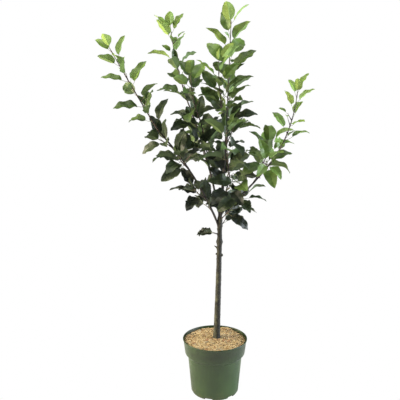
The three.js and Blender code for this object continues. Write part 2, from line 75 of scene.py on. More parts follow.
limbSizes = {
    "trunk": dict(foot=(6.2, 14, 198.3), heading=0, lean=(1.6, 1.0), length=489, radius=(11.6, 7),
                  flare=2.6, flareHeight=22, knot=dict(up=394, reach=9, radius=3.6)),
    "leader": dict(on="trunk", at=1, heading=0, lean=(4.6, 2.6), length=330, radius=(6, 3.4)),
    "bough_left": dict(on="trunk", at=0.905, heading=197, lean=(21, 42), length=440, radius=(4.2, 2.7)),
    "bough_inner_left": dict(on="trunk", at=0.985, heading=145, lean=(12, 26), length=440,
                             radius=(4.2, 2.6)),
    "bough_middle_left": dict(on="bough_inner_left", at=0.36, heading=235, lean=(16, 20), length=220,
                              radius=(2.7, 2.1)),
    "bough_right": dict(on="leader", at=0.04, heading=-22, lean=(49, 36), length=300, radius=(3.6, 2.5)),
    "bough_rear": dict(on="trunk", at=0.95, heading=78, lean=(34, 14), length=270, radius=(3.5, 2.4)),
    "bough_front": dict(on="leader", at=0.14, heading=-75, lean=(50, 26), length=160, radius=(3.0, 2.2)),
}
limbSteps = 8
stemSizes = dict(longRadius=2.5, shortRadius=1.9, tipRadius=1.3, longFrom=130, step=40)
leafSizes = dict(stalk=26, width=0.5, rise=10, fold=20, tipSpread=0.62, tipArch=0.55)
leafVariety = dict(spread=9, stalk=0.25, roll=48, length=0.1, width=0.05, rise=8, arch=0.35,
                   fold=9, twist=22, turn=10)
leafFacing = dict(up=0.75, along=0.35, inward=0.3)      # which way the upper side turns
bladeForm = dict(scale=2.42, foot=0.55, tip=0.75, bend=1.2)
# a long stem ends in a tuft of three leaves and a short one in a pair; the rest stand evenly
leafPlacing = dict(longTuft=3, shortTuft=2, pairFrom=4, tuftGap=7, asideFirst=0.34, tipFirst=0.06,
                   last=0.86)
leafScale = dict(shortTip=0.84, foot=0.9, full=0.3, tip=0.78, ease=1.5)
leafDraws = 9
spineSteps = 12
goldenAngle = 137.5
otherTurns = (0, 25, -25, 50, -50, 80, -80)
seedStep = 7919
leafRoom = 13
limbRoom = 6
ownLimbRoom = 5

# each leafy shoot: its limb and how far along it, heading, lean at foot and tip, length, number of
# leaves, a leaf's length, droop and angle to the stem, the first leaf's turn, and the seed
shootFields = ("on", "at", "heading", "lean", "length", "leaves", "leaf", "droop", "spread", "turn", "seed")
shootRows = dict(
    leader_top=("leader", 1, 0, (2, 2), 369, 18, 96, 38, 58, 255, 48),
    leader_side=("leader", 0.93, 250, (34, 6), 275, 12, 88, 42, 58, 315, 63),
    leader_left=("leader", 0.55, 160, (51, 29), 140, 11, 90, 84, 62, 135, 20),
    leader_right=("leader", 0.78, -55, (30, 34), 90, 6, 92, 62, 62, 255, 2),
    leader_low=("leader", 0.34, 45, (38, 22), 80, 7, 104, 53, 62, 210, 85),
    left_tip=("bough_left", 1, 197, (31, 29), 325, 17, 84, 45, 58, 90, 6),
    left_middle=("bough_left", 0.8, 185, (49, 60), 60, 6, 90, 66, 62, 0, 71),
    left_low=("bough_left", 0.6, 235, (58, 41), 80, 8, 98, 73, 64, 255, 75),
    left_inner=("bough_left", 0.66, -35, (45, 44), 80, 6, 88, 58, 60, 45, 2),
    left_foot=("bough_left", 0.3, 205, (62, 42), 60, 6, 94, 64, 64, 180, 78),
    left_base=("bough_left", 0.17, 140, (52, 69), 40, 2, 98, 46, 60, 75, 45),
    inner_left_tip=("bough_inner_left", 1, 145, (24, 9), 275, 13, 90, 42, 58, 195, 67),
    inner_left_side=("bough_inner_left", 0.76, 255, (50, 46), 80, 8, 92, 54, 62, 120, 62),
    inner_left_low=("bough_inner_left", 0.48, 110, (69, 22), 100, 7, 104, 45, 62, 45, 86),
    middle_left_tip=("bough_middle_left", 1, 230, (34, 3), 170, 12, 88, 56, 60, 15, 64),
    middle_left_low=("bough_middle_left", 0.5, 255, (31, 26), 90, 6, 86, 48, 62, 15, 2),
    right_tip=("bough_right", 1, -22, (31, 5), 240, 11, 74, 52, 58, 30, 17),
    right_inner=("bough_right", 0.6, 40, (40, 20), 160, 12, 96, 82, 60, 90, 77),
    right_low=("bough_right", 0.84, -95, (66, 63), 80, 8, 86, 80, 62, 285, 28),
    right_middle=("bough_right", 0.5, -125, (70, 62), 90, 4, 104, 41, 62, 240, 79),
    right_foot=("bough_right", 0.22, -30, (66, 42), 55, 6, 84, 84, 62, 30, 41),
    rear_tip=("bough_rear", 1, 63, (19, -4), 225, 11, 98, 43, 60, 255, 1),
    rear_low=("bough_rear", 0.55, 95, (44, 27), 80, 7, 102, 37, 62, 285, 9),
    front_tip=("bough_front", 1, -105, (29, 9), 180, 9, 102, 62, 60, 225, 34),
    front_low=("bough_front", 0.45, -80, (51, 72), 75, 7, 100, 79, 64, 210, 89),
    trunk_right=("trunk", 0.975, -45, (47, 45), 80, 7, 84, 82, 64, 0, 64),
    trunk_foot_left=("trunk", 0.86, 205, (66, 65), 30, 2, 84, 76, 40, 210, 27),
    trunk_foot_right=("trunk", 0.93, 30, (64, 30), 32, 2, 104, 84, 30, 300, 46),
)
shoots = {"leaves_" + name: dict(zip(shootFields, row)) for name, row in shootRows.items()}


def mix(low, high, share):
    return low + (high - low) * share


# the same stream of numbers for a seed as the part's own rule draws
def seededRandom(seed):
    mask = 0xFFFFFFFF
    state = seed & mask

    def draw():
        nonlocal state
        state = (state + 0x6D2B79F5) & mask
        t = ((state ^ (state >> 15)) * (state | 1)) & mask
        t ^= (t + (((t ^ (t >> 7)) * (t | 61)) & mask)) & mask
        return ((t ^ (t >> 14)) & mask) / (mask + 1)

    return draw


def direction(lean, heading):
    level, turn = math.radians(lean), math.radians(heading)
    return np.array([math.sin(level) * math.cos(turn), math.sin(level) * math.sin(turn), math.cos(level)])


def unit(v):
    return v / np.linalg.norm(v)


# v turned about an axis; v, axis and degrees may each be one or a row of many
def turned(v, axis, degrees):
    angle = np.radians(degrees)
    c, s = np.cos(angle)[..., None], np.sin(angle)[..., None]
    dot = np.sum(v * axis, axis=-1)[..., None]
    return v * c + np.cross(axis, v) * s + axis * dot * (1 - c)


def makeLimb(start, sizes, steps):
    points = [np.array(start, float)]
    for i in range(steps):
        lean = mix(*sizes["lean"], (i + 0.5) / steps)
        points.append(points[-1] + direction(lean, sizes["heading"]) * sizes["length"] / steps)
    heading = math.radians(sizes["heading"])
    side = np.array([-math.sin(heading), math.cos(heading), 0])
    return dict(sizes, steps=steps, points=np.array(points), side=side)


def pointOn(limb, f):
    x = f * limb["steps"]
    i = min(int(x), limb["steps"] - 1)
    return limb["points"][i] + (limb["points"][i + 1] - limb["points"][i]) * (x - i)


def alongAt(limb, f):
    return direction(mix(*limb["lean"], f), limb["heading"])


# the trunk is thicker at its root flare and at a knot
def radiusAt(limb, f):
    even = mix(*limb["radius"], f)
    if "knot" not in limb:
        return even
    up, knot = f * limb["length"], limb["knot"]
    swelling = knot["radius"] * math.exp(-((up - knot["up"]) / knot["reach"]) ** 2)
    return even + limb["flare"] * math.exp(-up / limb["flareHeight"]) + swelling


def growLimbs():
    limbs = {"trunk": makeLimb(limbSizes["trunk"]["foot"], limbSizes["trunk"], limbSteps)}
    for name, sizes in limbSizes.items():
        if name != "trunk":
            limbs[name] = makeLimb(pointOn(limbs[sizes["on"]], sizes["at"]), sizes, limbSteps)
    return limbs


def isLong(sizes):
    return sizes["length"] >= stemSizes["longFrom"]


def growStem(sizes, limbs):
    foot = stemSizes["longRadius" if isLong(sizes) else "shortRadius"]
    steps = max(2, sizes["length"] // stemSizes["step"])
    start = pointOn(limbs[sizes["on"]], sizes["at"])
    return makeLimb(start, dict(sizes, radius=(foot, stemSizes["tipRadius"])), steps)


# half the width of a blade at shares s of its length, at most 1
def bladeWidth(s):
    inside = np.clip(s, 0, 1)
    return bladeForm["scale"] * inside ** bladeForm["foot"] * (1 - inside) ** bladeForm["tip"]


def bendAt(leaf, s):
    return leaf["arch"] * s ** bladeForm["bend"] - leaf["rise"] * (1 - s)


def makeLeaf(carrier, f, turn, size, sizes, draws):
    root, along = pointOn(carrier, f), alongAt(carrier, f)
    other = np.cross(along, carrier["side"])
    out = carrier["side"] * math.cos(math.radians(turn)) + other * math.sin(math.radians(turn))
    spread = sizes["spread"] * mix(1, leafSizes["tipSpread"], f * f) + draws[0] * leafVariety["spread"]
    towards = along * math.cos(math.radians(spread)) + out * math.sin(math.radians(spread))
    stalk = leafSizes["stalk"] * size * (1 + leafVariety["stalk"] * draws[1])
    foot = root + towards * (radiusAt(carrier, f) + stalk)
    up = np.array([0, 0, leafFacing["up"]]) + along * leafFacing["along"] - out * leafFacing["inward"]
    up = unit(up - towards * np.dot(up, towards))
    face = turned(up, towards, draws[2] * leafVariety["roll"])
    length = sizes["leaf"] * size * (1 + leafVariety["length"] * draws[3])
    droop = sizes["droop"] * mix(1, leafSizes["tipArch"], f)
    leaf = dict(root=root, foot=foot, towards=towards, face=face, across=np.cross(face, towards),
                length=length, width=length * (leafSizes["width"] + leafVariety["width"] * draws[4]),
                rise=leafSizes["rise"] + leafVariety["rise"] * draws[5],
                arch=droop * (1 + leafVariety["arch"] * draws[6]),
                fold=leafSizes["fold"] + leafVariety["fold"] * draws[7],
                twist=leafVariety["twist"] * draws[8], f=f, size=size)
    steps = (np.arange(spineSteps) + 0.5) / spineSteps
    ahead = turned(towards, leaf["across"], bendAt(leaf, steps)) * length / spineSteps
    leaf["spine"] = np.vstack([foot, foot + np.cumsum(ahead, axis=0)])
    leaf["probes"] = probesOf(leaf)
    return leaf


# the midrib, the direction across, the upward normal and the half width at shares s of the blade
def bladeRows(leaf, s):
    x = s * spineSteps
    i = np.minimum(x.astype(int), spineSteps - 1)
    middle = leaf["spine"][i] + (leaf["spine"][i + 1] - leaf["spine"][i]) * (x - i)[:, None]
    bend = bendAt(leaf, s)
    ahead = turned(leaf["towards"], leaf["across"], bend)
    across = turned(leaf["across"], ahead, leaf["twist"] * s)
    normal = turned(turned(leaf["face"], leaf["across"], bend), ahead, leaf["twist"] * s)
    return middle, across, normal, leaf["width"] / 2 * bladeWidth(s)


# points of a leaf that must stay clear of others: rows along the blade, one on the stalk, its foot
probeStations = np.array([0.08, 0.22, 0.36, 0.5, 0.64, 0.78, 0.93])
probeWidths = (0.42, 0.84, -0.42, -0.84)
probeStalk = 0.55


def probesOf(leaf):
    middle, across, normal, half = bladeRows(leaf, probeStations)
    lift = normal * (half * math.sin(math.radians(leaf["fold"])))[:, None]
    reach = across * (half * math.cos(math.radians(leaf["fold"])))[:, None]
    rows = [middle] + [middle + reach * w + lift * abs(w) for w in probeWidths]
    stalk = leaf["root"] + (leaf["foot"] - leaf["root"]) * probeStalk
    return np.vstack(rows + [stalk, leaf["foot"]])


# every limb and stem as straight pieces: both ends, the thickness and whose it is
def segmentsOf(carriers):
    starts, ends, thick, owner = [], [], [], []
    for name, limb in carriers.items():
        for i in range(limb["steps"]):
            starts.append(limb["points"][i])
            ends.append(limb["points"][i + 1])
            thick.append(mix(*limb["radius"], i / limb["steps"]))
            owner.append(name)
    return np.array(starts), np.array(ends), np.array(thick), np.array(owner)


def hasRoom(leaf, name, parent, segments, earlier, room):
    starts, ends, thick, owner = segments
    probes = leaf["probes"]
    along = ends - starts
    offset = probes[:, None, :] - starts[None, :, :]
    share = np.clip(np.sum(offset * along, axis=2) / np.sum(along * along, axis=1), 0, 1)
    distance = np.linalg.norm(offset - share[:, :, None] * along, axis=2)
    isOwn, isParent = owner == name, owner == parent
    need = np.where(isOwn, limbRoom, np.where(isParent, thick + ownLimbRoom, thick + limbRoom))
    isOther = ~(isOwn | isParent)
    if (distance[:-2] < need).any() or (distance[-2:, isOther] < need[isOther]).any():
        return False
    if not len(earlier):
        return True
    low, high = probes.min(axis=0) - room, probes.max(axis=0) + room
    near = earlier[((earlier > low) & (earlier < high)).all(axis=1)]
    gaps = near[:, None, :] - probes[None, :, :]
    return not (np.sum(gaps * gaps, axis=2) < room * room).any()


# how far along its stem each leaf stands
def leafPlaces(sizes):
    tuft = leafPlacing["longTuft"]
    if not isLong(sizes):
        tuft = leafPlacing["shortTuft"] * (sizes["leaves"] >= leafPlacing["pairFrom"])
    body = sizes["leaves"] - tuft
    first = leafPlacing["asideFirst" if sizes["at"] < 1 else "tipFirst"]
    last = leafPlacing["last"] if tuft else 1
    places = [mix(first, last, i / max(1, body - 1)) for i in range(body)]
    return places + [1 - (tuft - 1 - i) * leafPlacing["tuftGap"] / sizes["length"] for i in range(tuft)]


# leaves are smaller towards the tip, and a little smaller at the foot of a long stem
def leafSize(sizes, f):
    if not isLong(sizes):
        return mix(1, leafScale["shortTip"], f)
    full = leafScale["full"]
    if f < full:
        return mix(leafScale["foot"], 1, f / full)
    return mix(1, leafScale["tip"], ((f - full) / (1 - full)) ** leafScale["ease"])


def growLeaves(name, carriers, segments, earlier):
    sizes = shoots[name]
    draw = seededRandom(sizes["seed"] * seedStep)
    leaves = []
    for i, f in enumerate(leafPlaces(sizes)):
        draws = [draw() * 2 - 1 for _ in range(leafDraws)]
        for otherTurn in otherTurns:
            turn = sizes["turn"] + i * goldenAngle + draws[1] * leafVariety["turn"] + otherTurn
            leaf = makeLeaf(carriers[name], f, turn, leafSize(sizes, f), sizes, draws)
            taken = np.vstack(earlier + [one["probes"] for one in leaves] + [np.empty((0, 3))])
            if hasRoom(leaf, name, sizes["on"], segments, taken, leafRoom):
                leaves.append(leaf)
                break
    return leaves


limbs = growLimbs()
stems = {name: growStem(sizes, limbs) for name, sizes in shoots.items()}
carriers = {**limbs, **stems}
segments = segmentsOf(carriers)
leavesOf = {}
for shootName in shoots:
    grownProbes = [leaf["probes"] for leaves in leavesOf.values() for leaf in leaves]
    leavesOf[shootName] = growLeaves(shootName, carriers, segments, grownProbes)


# Finer growth between and beyond those leaves, by the same rule: short spurs with small leaves, and
# the folded leaves that unfold at each tip. None of it reaches beyond its own mass.
spurSizes = dict(every=66, first=0.12, last=0.96, length=(14, 34), radius=(1.3, 0.8), lean=(30, 70),
                 upturn=0.6, steps=4, leaves=(1, 2), apart=0.3, size=(0.34, 0.56), droop=46, spread=54,
                 room=8.5, tries=4)
tipSizes = dict(leaves=3, size=(0.26, 0.44), turn=60, droop=14, spread=20, fold=52, room=3.5)
beyond = 6
fineSeed = 313


def staysInside(leaf, name):
    low, high = [np.array(corner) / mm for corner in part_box(name)]
    return bool((leaf["probes"] > low - beyond).all() and (leaf["probes"] < high + beyond).all())


def growSpurs(name, draw, taken):
    stem, spurs = stems[name], []
    count = stem["length"] / spurSizes["every"]
    for i in range(int(count)):
        f = mix(spurSizes["first"], spurSizes["last"], (i + draw.random()) / count)
        habit = dict(shoots[name], on=name, at=f, droop=spurSizes["droop"], spread=spurSizes["spread"],
                     length=draw.uniform(*spurSizes["length"]), radius=spurSizes["radius"])
        for _ in range(spurSizes["tries"]):
            lean = draw.uniform(*spurSizes["lean"])
            way = dict(habit, heading=draw.uniform(0, 360), lean=(lean, lean * spurSizes["upturn"]))
            spur = makeLimb(pointOn(stem, f), way, spurSizes["steps"])
            leaves = []
            for k in range(draw.randint(*spurSizes["leaves"])):
                draws = [draw.uniform(-1, 1) for _ in range(leafDraws)]
                turn, size = draw.uniform(0, 360), draw.uniform(*spurSizes["size"])
                leaf = makeLeaf(spur, 1 - spurSizes["apart"] * k, turn, size, habit, draws)
                near = np.vstack(taken + [one["probes"] for one in leaves])
                if staysInside(leaf, name) and hasRoom(leaf, name, None, segments, near, spurSizes["room"]):
                    leaves.append(leaf)
            if leaves:
                spurs.append((spur, leaves))
                taken += [leaf["probes"] for leaf in leaves]
                break
    return spurs


def growTip(name, draw, taken):
    leaves = []
    for k in range(tipSizes["leaves"]):
        habit = dict(shoots[name], droop=tipSizes["droop"], spread=tipSizes["spread"])
        draws = [draw.uniform(-1, 1) for _ in range(leafDraws)]
        size = mix(*tipSizes["size"], 1 - k / tipSizes["leaves"])
        turn = k * goldenAngle + draw.uniform(0, tipSizes["turn"])
        leaf = makeLeaf(stems[name], 1, turn, size, habit, draws)
        leaf["fold"] = tipSizes["fold"]
        leaf["probes"] = probesOf(leaf)
        near = np.vstack(taken)
        if staysInside(leaf, name) and hasRoom(leaf, name, name, segments, near, tipSizes["room"]):
            leaves.append(leaf)
            taken.append(leaf["probes"])
    return leaves


takenProbes = [leaf["probes"] for leaves in leavesOf.values() for leaf in leaves]
spursOf, tipLeavesOf = {}, {}
for index, shootName in enumerate(shoots):
    fineDraw = random.Random(fineSeed + index)
    tipLeavesOf[shootName] = growTip(shootName, fineDraw, takenProbes)
    spursOf[shootName] = growSpurs(shootName, fineDraw, takenProbes)
print("grown:", sum(len(leaves) for leaves in leavesOf.values()), "leaves,",
      sum(len(leaves) for leaves in tipLeavesOf.values()), "at tips,",
      sum(len(leaves) for spurs in spursOf.values() for _, leaves in spurs), "on spurs")


# helpers for materials and pieces

# sRGB hex to the linear colour that a shader takes
def linear(hexColour):
    parts = [int(hexColour[i:i + 2], 16) / 255 for i in (1, 3, 5)]
    return [c / 12.92 if c <= 0.04045 else ((c + 0.055) / 1.055) ** 2.4 for c in parts] + [1.0]


# sets a node's input to a value, a hex colour, a socket or another node's first output in use
def setInput(node, name, value):
    if isinstance(value, bpy.types.Node):
        value = next(output for output in value.outputs if output.enabled)
    if isinstance(value, bpy.types.NodeSocket):
        node.id_data.links.new(value, node.inputs[name])
    else:
        node.inputs[name].default_value = linear(value) if isinstance(value, str) else value


# adds a node with its inputs, settings and ramp stops
def addNode(tree, kind, inputs=None, settings=None, stops=()):
    node = tree.nodes.new("ShaderNode" + kind)
    for name, value in (settings or {}).items():
        setattr(node, name, value)
    for name, value in (inputs or {}).items():
        setInput(node, name, value)
    for i, (place, colour) in enumerate(stops):
        element = node.color_ramp.elements[i] if i < 2 else node.color_ramp.elements.new(place)
        element.position = place
        element.color = linear(colour)
    return node


# a new material with its principled shader; fixed values go on the shader's own sockets
def startMaterial(name, **sockets):
    made = bpy.data.materials.new(name)
    made.use_nodes = True
    tree = made.node_tree
    shader = tree.nodes["Principled BSDF"]
    for socket, value in sockets.items():
        setInput(shader, socket.replace("_", " "), value)
    return made, tree, shader


# a pattern's scale, from the size in millimetres of what it draws
def perMetre(sizeMm):
    return 1000 / sizeMm


# settings of a mix node that blends colours: input 0 is the share, and 6 and 7 are the colours
asColour = {"data_type": "RGBA"}


# Moulded polypropylene: an even, slightly waxy green with a fine matt grain from the mould, long
# faint flow marks down the wall, dust that is thickest low down, and a darker, stained collar.
potColours = dict(deep="#203217", plain="#283e1b", pale="#324b21", dust="#50522f", stain="#151b09")
potPattern = dict(tone=120, flow=9, grain=0.9, dust=16, roughness=0.42, stain=46, stainFrom=0.15,
                  stainFull=0.18)


def mouldedPolypropylene():
    made, tree, shader = startMaterial("moulded_polypropylene", IOR=1.49)
    place = addNode(tree, "TexCoord").outputs["Object"]
    tone = addNode(tree, "TexNoise",
                   {"Vector": place, "Scale": perMetre(potPattern["tone"]), "Detail": 3.0})
    tones = addNode(tree, "ValToRGB", {"Fac": tone},
                    stops=[(0.3, potColours["deep"]), (0.72, potColours["pale"]),
                           (0.5, potColours["plain"])])
    tall = addNode(tree, "Mapping", {"Vector": place, "Scale": (1, 1, 0.08)})
    flow = addNode(tree, "TexNoise",
                   {"Vector": tall, "Scale": perMetre(potPattern["flow"]), "Detail": 4.0})
    flowShare = addNode(tree, "MapRange",
                        {"Value": flow, "From Min": 0.5, "From Max": 0.8, "To Max": 0.35})
    streaked = addNode(tree, "Mix", {0: flowShare, 6: tones, 7: potColours["pale"]}, asColour)
    speck = addNode(tree, "TexNoise",
                    {"Vector": place, "Scale": perMetre(potPattern["dust"]), "Detail": 8.0,
                     "Roughness": 0.7})
    height = addNode(tree, "SeparateXYZ", {"Vector": place}).outputs["Z"]
    low = addNode(tree, "MapRange",
                  {"Value": height, "From Min": 0.0, "From Max": 0.05, "To Min": 0.2, "To Max": 0.0})
    patchy = addNode(tree, "Math", {0: speck, 1: low}, {"operation": "ADD"})
    dust = addNode(tree, "MapRange",
                   {"Value": patchy, "From Min": 0.58, "From Max": 0.85, "To Max": 0.5})
    dusty = addNode(tree, "Mix", {0: dust, 6: streaked, 7: potColours["dust"]}, asColour)
    blotch = addNode(tree, "TexNoise",
                     {"Vector": place, "Scale": perMetre(potPattern["stain"]), "Detail": 3.0})
    upper = addNode(tree, "MapRange",
                    {"Value": height, "From Min": potPattern["stainFrom"],
                     "From Max": potPattern["stainFull"], "To Max": 0.95})
    stained = addNode(tree, "Math", {0: upper, 1: blotch}, {"operation": "MULTIPLY"})
    colour = addNode(tree, "Mix", {0: stained, 6: dusty, 7: potColours["stain"]}, asColour)
    setInput(shader, "Base Color", colour)
    rough = addNode(tree, "MapRange",
                    {"Value": speck, "From Min": 0.3, "From Max": 0.75,
                     "To Min": potPattern["roughness"] - 0.06,
                     "To Max": potPattern["roughness"] + 0.14})
    setInput(shader, "Roughness", rough)
    grain = addNode(tree, "TexNoise",
                    {"Vector": place, "Scale": perMetre(potPattern["grain"]), "Detail": 2.0})
    bump = addNode(tree, "Bump", {"Height": grain, "Distance": 0.08 * mm})
    setInput(shader, "Normal", bump)
    return made


# finishes that one noise draws: its size in millimetres, detail and contrast, tones and relief
grainFinishes = dict(
    # peat compost: dark, fibrous crumbs with no shine at all
    peat_compost=dict(roughness=0.96, size=3, detail=6.0, contrast=0.7, relief=1.6,
                      tones=((0.3, "#120c08"), (0.75, "#3a2c20"), (0.85, "#54432f"))),
    # a healed pruning cut: weathered, mottled end grain
    pruned_end_grain=dict(roughness=0.85, size=1.5, detail=5.0, contrast=0.5, relief=0.4,
                          tones=((0.3, "#4a3a2c"), (0.7, "#8f7a5e"))),
    # winter-type bud scales: tight, dull and brown, flecked with grey down
    bud_scale=dict(roughness=0.75, size=2, detail=3.0, contrast=0.5, relief=0,
                   tones=((0.35, "#3b2620"), (0.7, "#7a6152"))),
)


def grainFinish(name):
    finish = grainFinishes[name]
    made, tree, shader = startMaterial(name, Roughness=finish["roughness"])
    place = addNode(tree, "TexCoord").outputs["Object"]
    grain = addNode(tree, "TexNoise",
                    {"Vector": place, "Scale": perMetre(finish["size"]), "Detail": finish["detail"],
                     "Roughness": finish["contrast"]})
    tones = addNode(tree, "ValToRGB", {"Fac": grain}, stops=finish["tones"])
    setInput(shader, "Base Color", tones)
    if finish["relief"]:
        bump = addNode(tree, "Bump", {"Height": grain, "Distance": finish["relief"] * mm})
        setInput(shader, "Normal", bump)
    return made


# Planed softwood chips: dry and matt, each with fine grain lines; one tint each, because a bed is
# mixed from fresh, weathered and barky pieces.
chipTints = dict(pale="#af9b71", tan="#a38e63", honey="#987f58", rust="#8b6645", dark="#665239",
                 grey="#91876e")
chipStains = dict(aged="#856c49", line="#6b5230")


def woodChip(tint):
    made, tree, shader = startMaterial("wood_chip_" + tint, Roughness=0.86)
    place = addNode(tree, "TexCoord").outputs["Object"]
    grain = addNode(tree, "TexNoise",
                    {"Vector": place, "Scale": perMetre(1.6), "Detail": 5.0, "Roughness": 0.65})
    patch = addNode(tree, "TexNoise", {"Vector": place, "Scale": perMetre(14), "Detail": 2.0})
    shade = addNode(tree, "MapRange",
                    {"Value": patch, "From Min": 0.35, "From Max": 0.7, "To Max": 0.3})
    aged = addNode(tree, "Mix", {0: shade, 6: chipTints[tint], 7: chipStains["aged"]}, asColour)
    lines = addNode(tree, "MapRange",
                    {"Value": grain, "From Min": 0.5, "From Max": 0.8, "To Max": 0.18})
    colour = addNode(tree, "Mix", {0: lines, 6: aged, 7: chipStains["line"]}, asColour)
    setInput(shader, "Base Color", colour)
    bump = addNode(tree, "Bump", {"Height": grain, "Distance": 0.2 * mm})
    setInput(shader, "Normal", bump)
    return made


# Apple bark: thin and smooth on young wood, grey-brown with a green cast, crossed by pale corky pores,
# and cracked into fine lengthwise lines on the trunk, where painted shade also turns the bark near-black
# on the side away from the light and higher up. The pattern follows the limb by its UV map, whose unit
# is a metre, round the limb and along it.
barkFinishes = dict(
    # the trunk's last colour is painted shade, laid near-black on its side away from the light and higher
    # up
    trunk=dict(deep="#191914", plain="#3a3b2c", pale="#5f6047", pore="#7b7961", crack=1.6,
               roughness=0.8, girth=2 * math.pi * limbSizes["trunk"]["radius"][0] * mm, bare="#1b1916"),
    bough=dict(deep="#100d0b", plain="#241e19", pale="#3c342a", pore="#6b6152", crack=2.2,
               roughness=0.62),
    shoot=dict(deep="#1d1512", plain="#35261f", pale="#4d3a2e", pore="#7d6a57", crack=2.6,
               roughness=0.5),
)


# painted shade: the trunk turns near-black on the side away from the light and higher up; the lit side
# low down keeps its greenish bark tones
def paintedShadeShare(tree, place, girth):
    parts = addNode(tree, "SeparateXYZ", {"Vector": place})
    turn = addNode(tree, "Math",
                   {0: parts.outputs["X"], 1: 2 * math.pi / girth}, {"operation": "MULTIPLY"})
    facing = addNode(tree, "Math", {0: turn}, {"operation": "SINE"})
    far = addNode(tree, "MapRange",
                  {"Value": facing, "From Min": 0.3, "From Max": -0.4, "To Max": 0.78},
                  {"interpolation_type": "SMOOTHSTEP"})
    high = addNode(tree, "MapRange",
                   {"Value": parts.outputs["Y"], "From Min": 0.12, "From Max": 0.36, "To Max": 0.66},
                   {"interpolation_type": "SMOOTHSTEP"})
    return addNode(tree, "Math", {0: far, 1: high}, {"operation": "MAXIMUM"})


def appleBark(kind):
    finish = barkFinishes[kind]
    made, tree, shader = startMaterial("apple_bark_" + kind)
    place = addNode(tree, "UVMap", settings={"uv_map": "bark"})
    solid = addNode(tree, "TexCoord").outputs["Object"]
    tone = addNode(tree, "TexNoise", {"Vector": solid, "Scale": perMetre(22), "Detail": 4.0})
    tones = addNode(tree, "ValToRGB", {"Fac": tone},
                    stops=[(0.32, finish["deep"]), (0.74, finish["pale"]), (0.5, finish["plain"])])
    drawn = addNode(tree, "Mapping", {"Vector": place, "Scale": (1, 0.12, 1)})
    crack = addNode(tree, "TexNoise",
                    {"Vector": drawn, "Scale": perMetre(finish["crack"]), "Detail": 4.0,
                     "Roughness": 0.6})
    cracked = addNode(tree, "MapRange",
                      {"Value": crack, "From Min": 0.52, "From Max": 0.7, "To Max": 0.55})
    lined = addNode(tree, "Mix", {0: cracked, 6: tones, 7: finish["deep"]}, asColour)
    spread = addNode(tree, "Mapping", {"Vector": place, "Scale": (1, 2.4, 1)})
    pores = addNode(tree, "TexVoronoi",
                    {"Vector": spread, "Scale": perMetre(9), "Randomness": 1.0}, {"feature": "F1"})
    poreShare = addNode(tree, "MapRange",
                        {"Value": pores, "From Min": 0.12, "From Max": 0.2, "To Min": 0.75,
                         "To Max": 0.0})
    colour = addNode(tree, "Mix", {0: poreShare, 6: lined, 7: finish["pore"]}, asColour)
    # painted shade on the trunk: the near-black colour goes on its side away from the light and higher up
    if "girth" in finish:
        bare = paintedShadeShare(tree, place, finish["girth"])
        colour = addNode(tree, "Mix", {0: bare, 6: colour, 7: finish["bare"]}, asColour)
    setInput(shader, "Base Color", colour)
    rough = addNode(tree, "MapRange",
                    {"Value": crack, "To Min": finish["roughness"] - 0.1,
                     "To Max": finish["roughness"] + 0.15})
    setInput(shader, "Roughness", rough)
    bump = addNode(tree, "Bump", {"Height": crack, "Distance": 0.5 * mm})
    setInput(shader, "Normal", bump)
    return made


# Living leaf tissue. A young leaf is pale and bright; an old one is thick and dark with a soft wax
# gloss. The upper side is plain base colour with faint mottling, the underside is a little paler
# and matt with down on it, and the midrib is a shade lighter and smooth.
# These tints are partly real age and partly painted light: the darkest go to leaves low down and near the
# crown's middle as painted shade, and the palest to high leaves as painted light from above.
leafTintsByAgeAndShade = dict(
    old=dict(top="#192015", under="#36432b", rib="#303d25", gloss=0.54),
    dark=dict(top="#2d3b22", under="#4c5d38", rib="#47592f", gloss=0.5),
    grown=dict(top="#455c2a", under="#5f7541", rib="#5c7437", gloss=0.47),
    fresh=dict(top="#627f36", under="#769049", rib="#739042", gloss=0.45),
    young=dict(top="#7a983f", under="#8fa956", rib="#94b055", gloss=0.48),
)
leafPattern = dict(mottle=30, shade=0.7, share=0.35, cell=2.6, topRelief=0.03, underRelief=0.06,
                   reliefShare=0.7, underRough=0.7, ribRough=0.5)
# side veins: how many leave the midrib, how far each leans to the tip, a line's width and strength
leafVeins = dict(count=8, lean=0.6, width=0.11, share=0.42)


# pale lines on the blade's own map, in the valleys between its puckers
def veinShare(tree):
    blade = addNode(tree, "UVMap", settings={"uv_map": "blade"})
    parts = addNode(tree, "SeparateXYZ", {"Vector": blade})
    out = addNode(tree, "Math", {0: parts.outputs["X"]}, {"operation": "ABSOLUTE"})
    back = addNode(tree, "Math", {0: out, 1: -leafVeins["lean"]}, {"operation": "MULTIPLY"})
    phase = addNode(tree, "Math",
                    {0: parts.outputs["Y"], 1: leafVeins["count"], 2: back},
                    {"operation": "MULTIPLY_ADD"})
    offset = addNode(tree, "Math", {0: phase, 1: 0.5}, {"operation": "PINGPONG"})
    line = addNode(tree, "MapRange",
                   {"Value": offset, "From Min": 0.5 - leafVeins["width"], "From Max": 0.5,
                    "To Max": leafVeins["share"]}, {"interpolation_type": "SMOOTHSTEP"})
    return line


def darkened(hexColour, share):
    return "#" + "".join("%02x" % int(int(hexColour[i:i + 2], 16) * share) for i in (1, 3, 5))


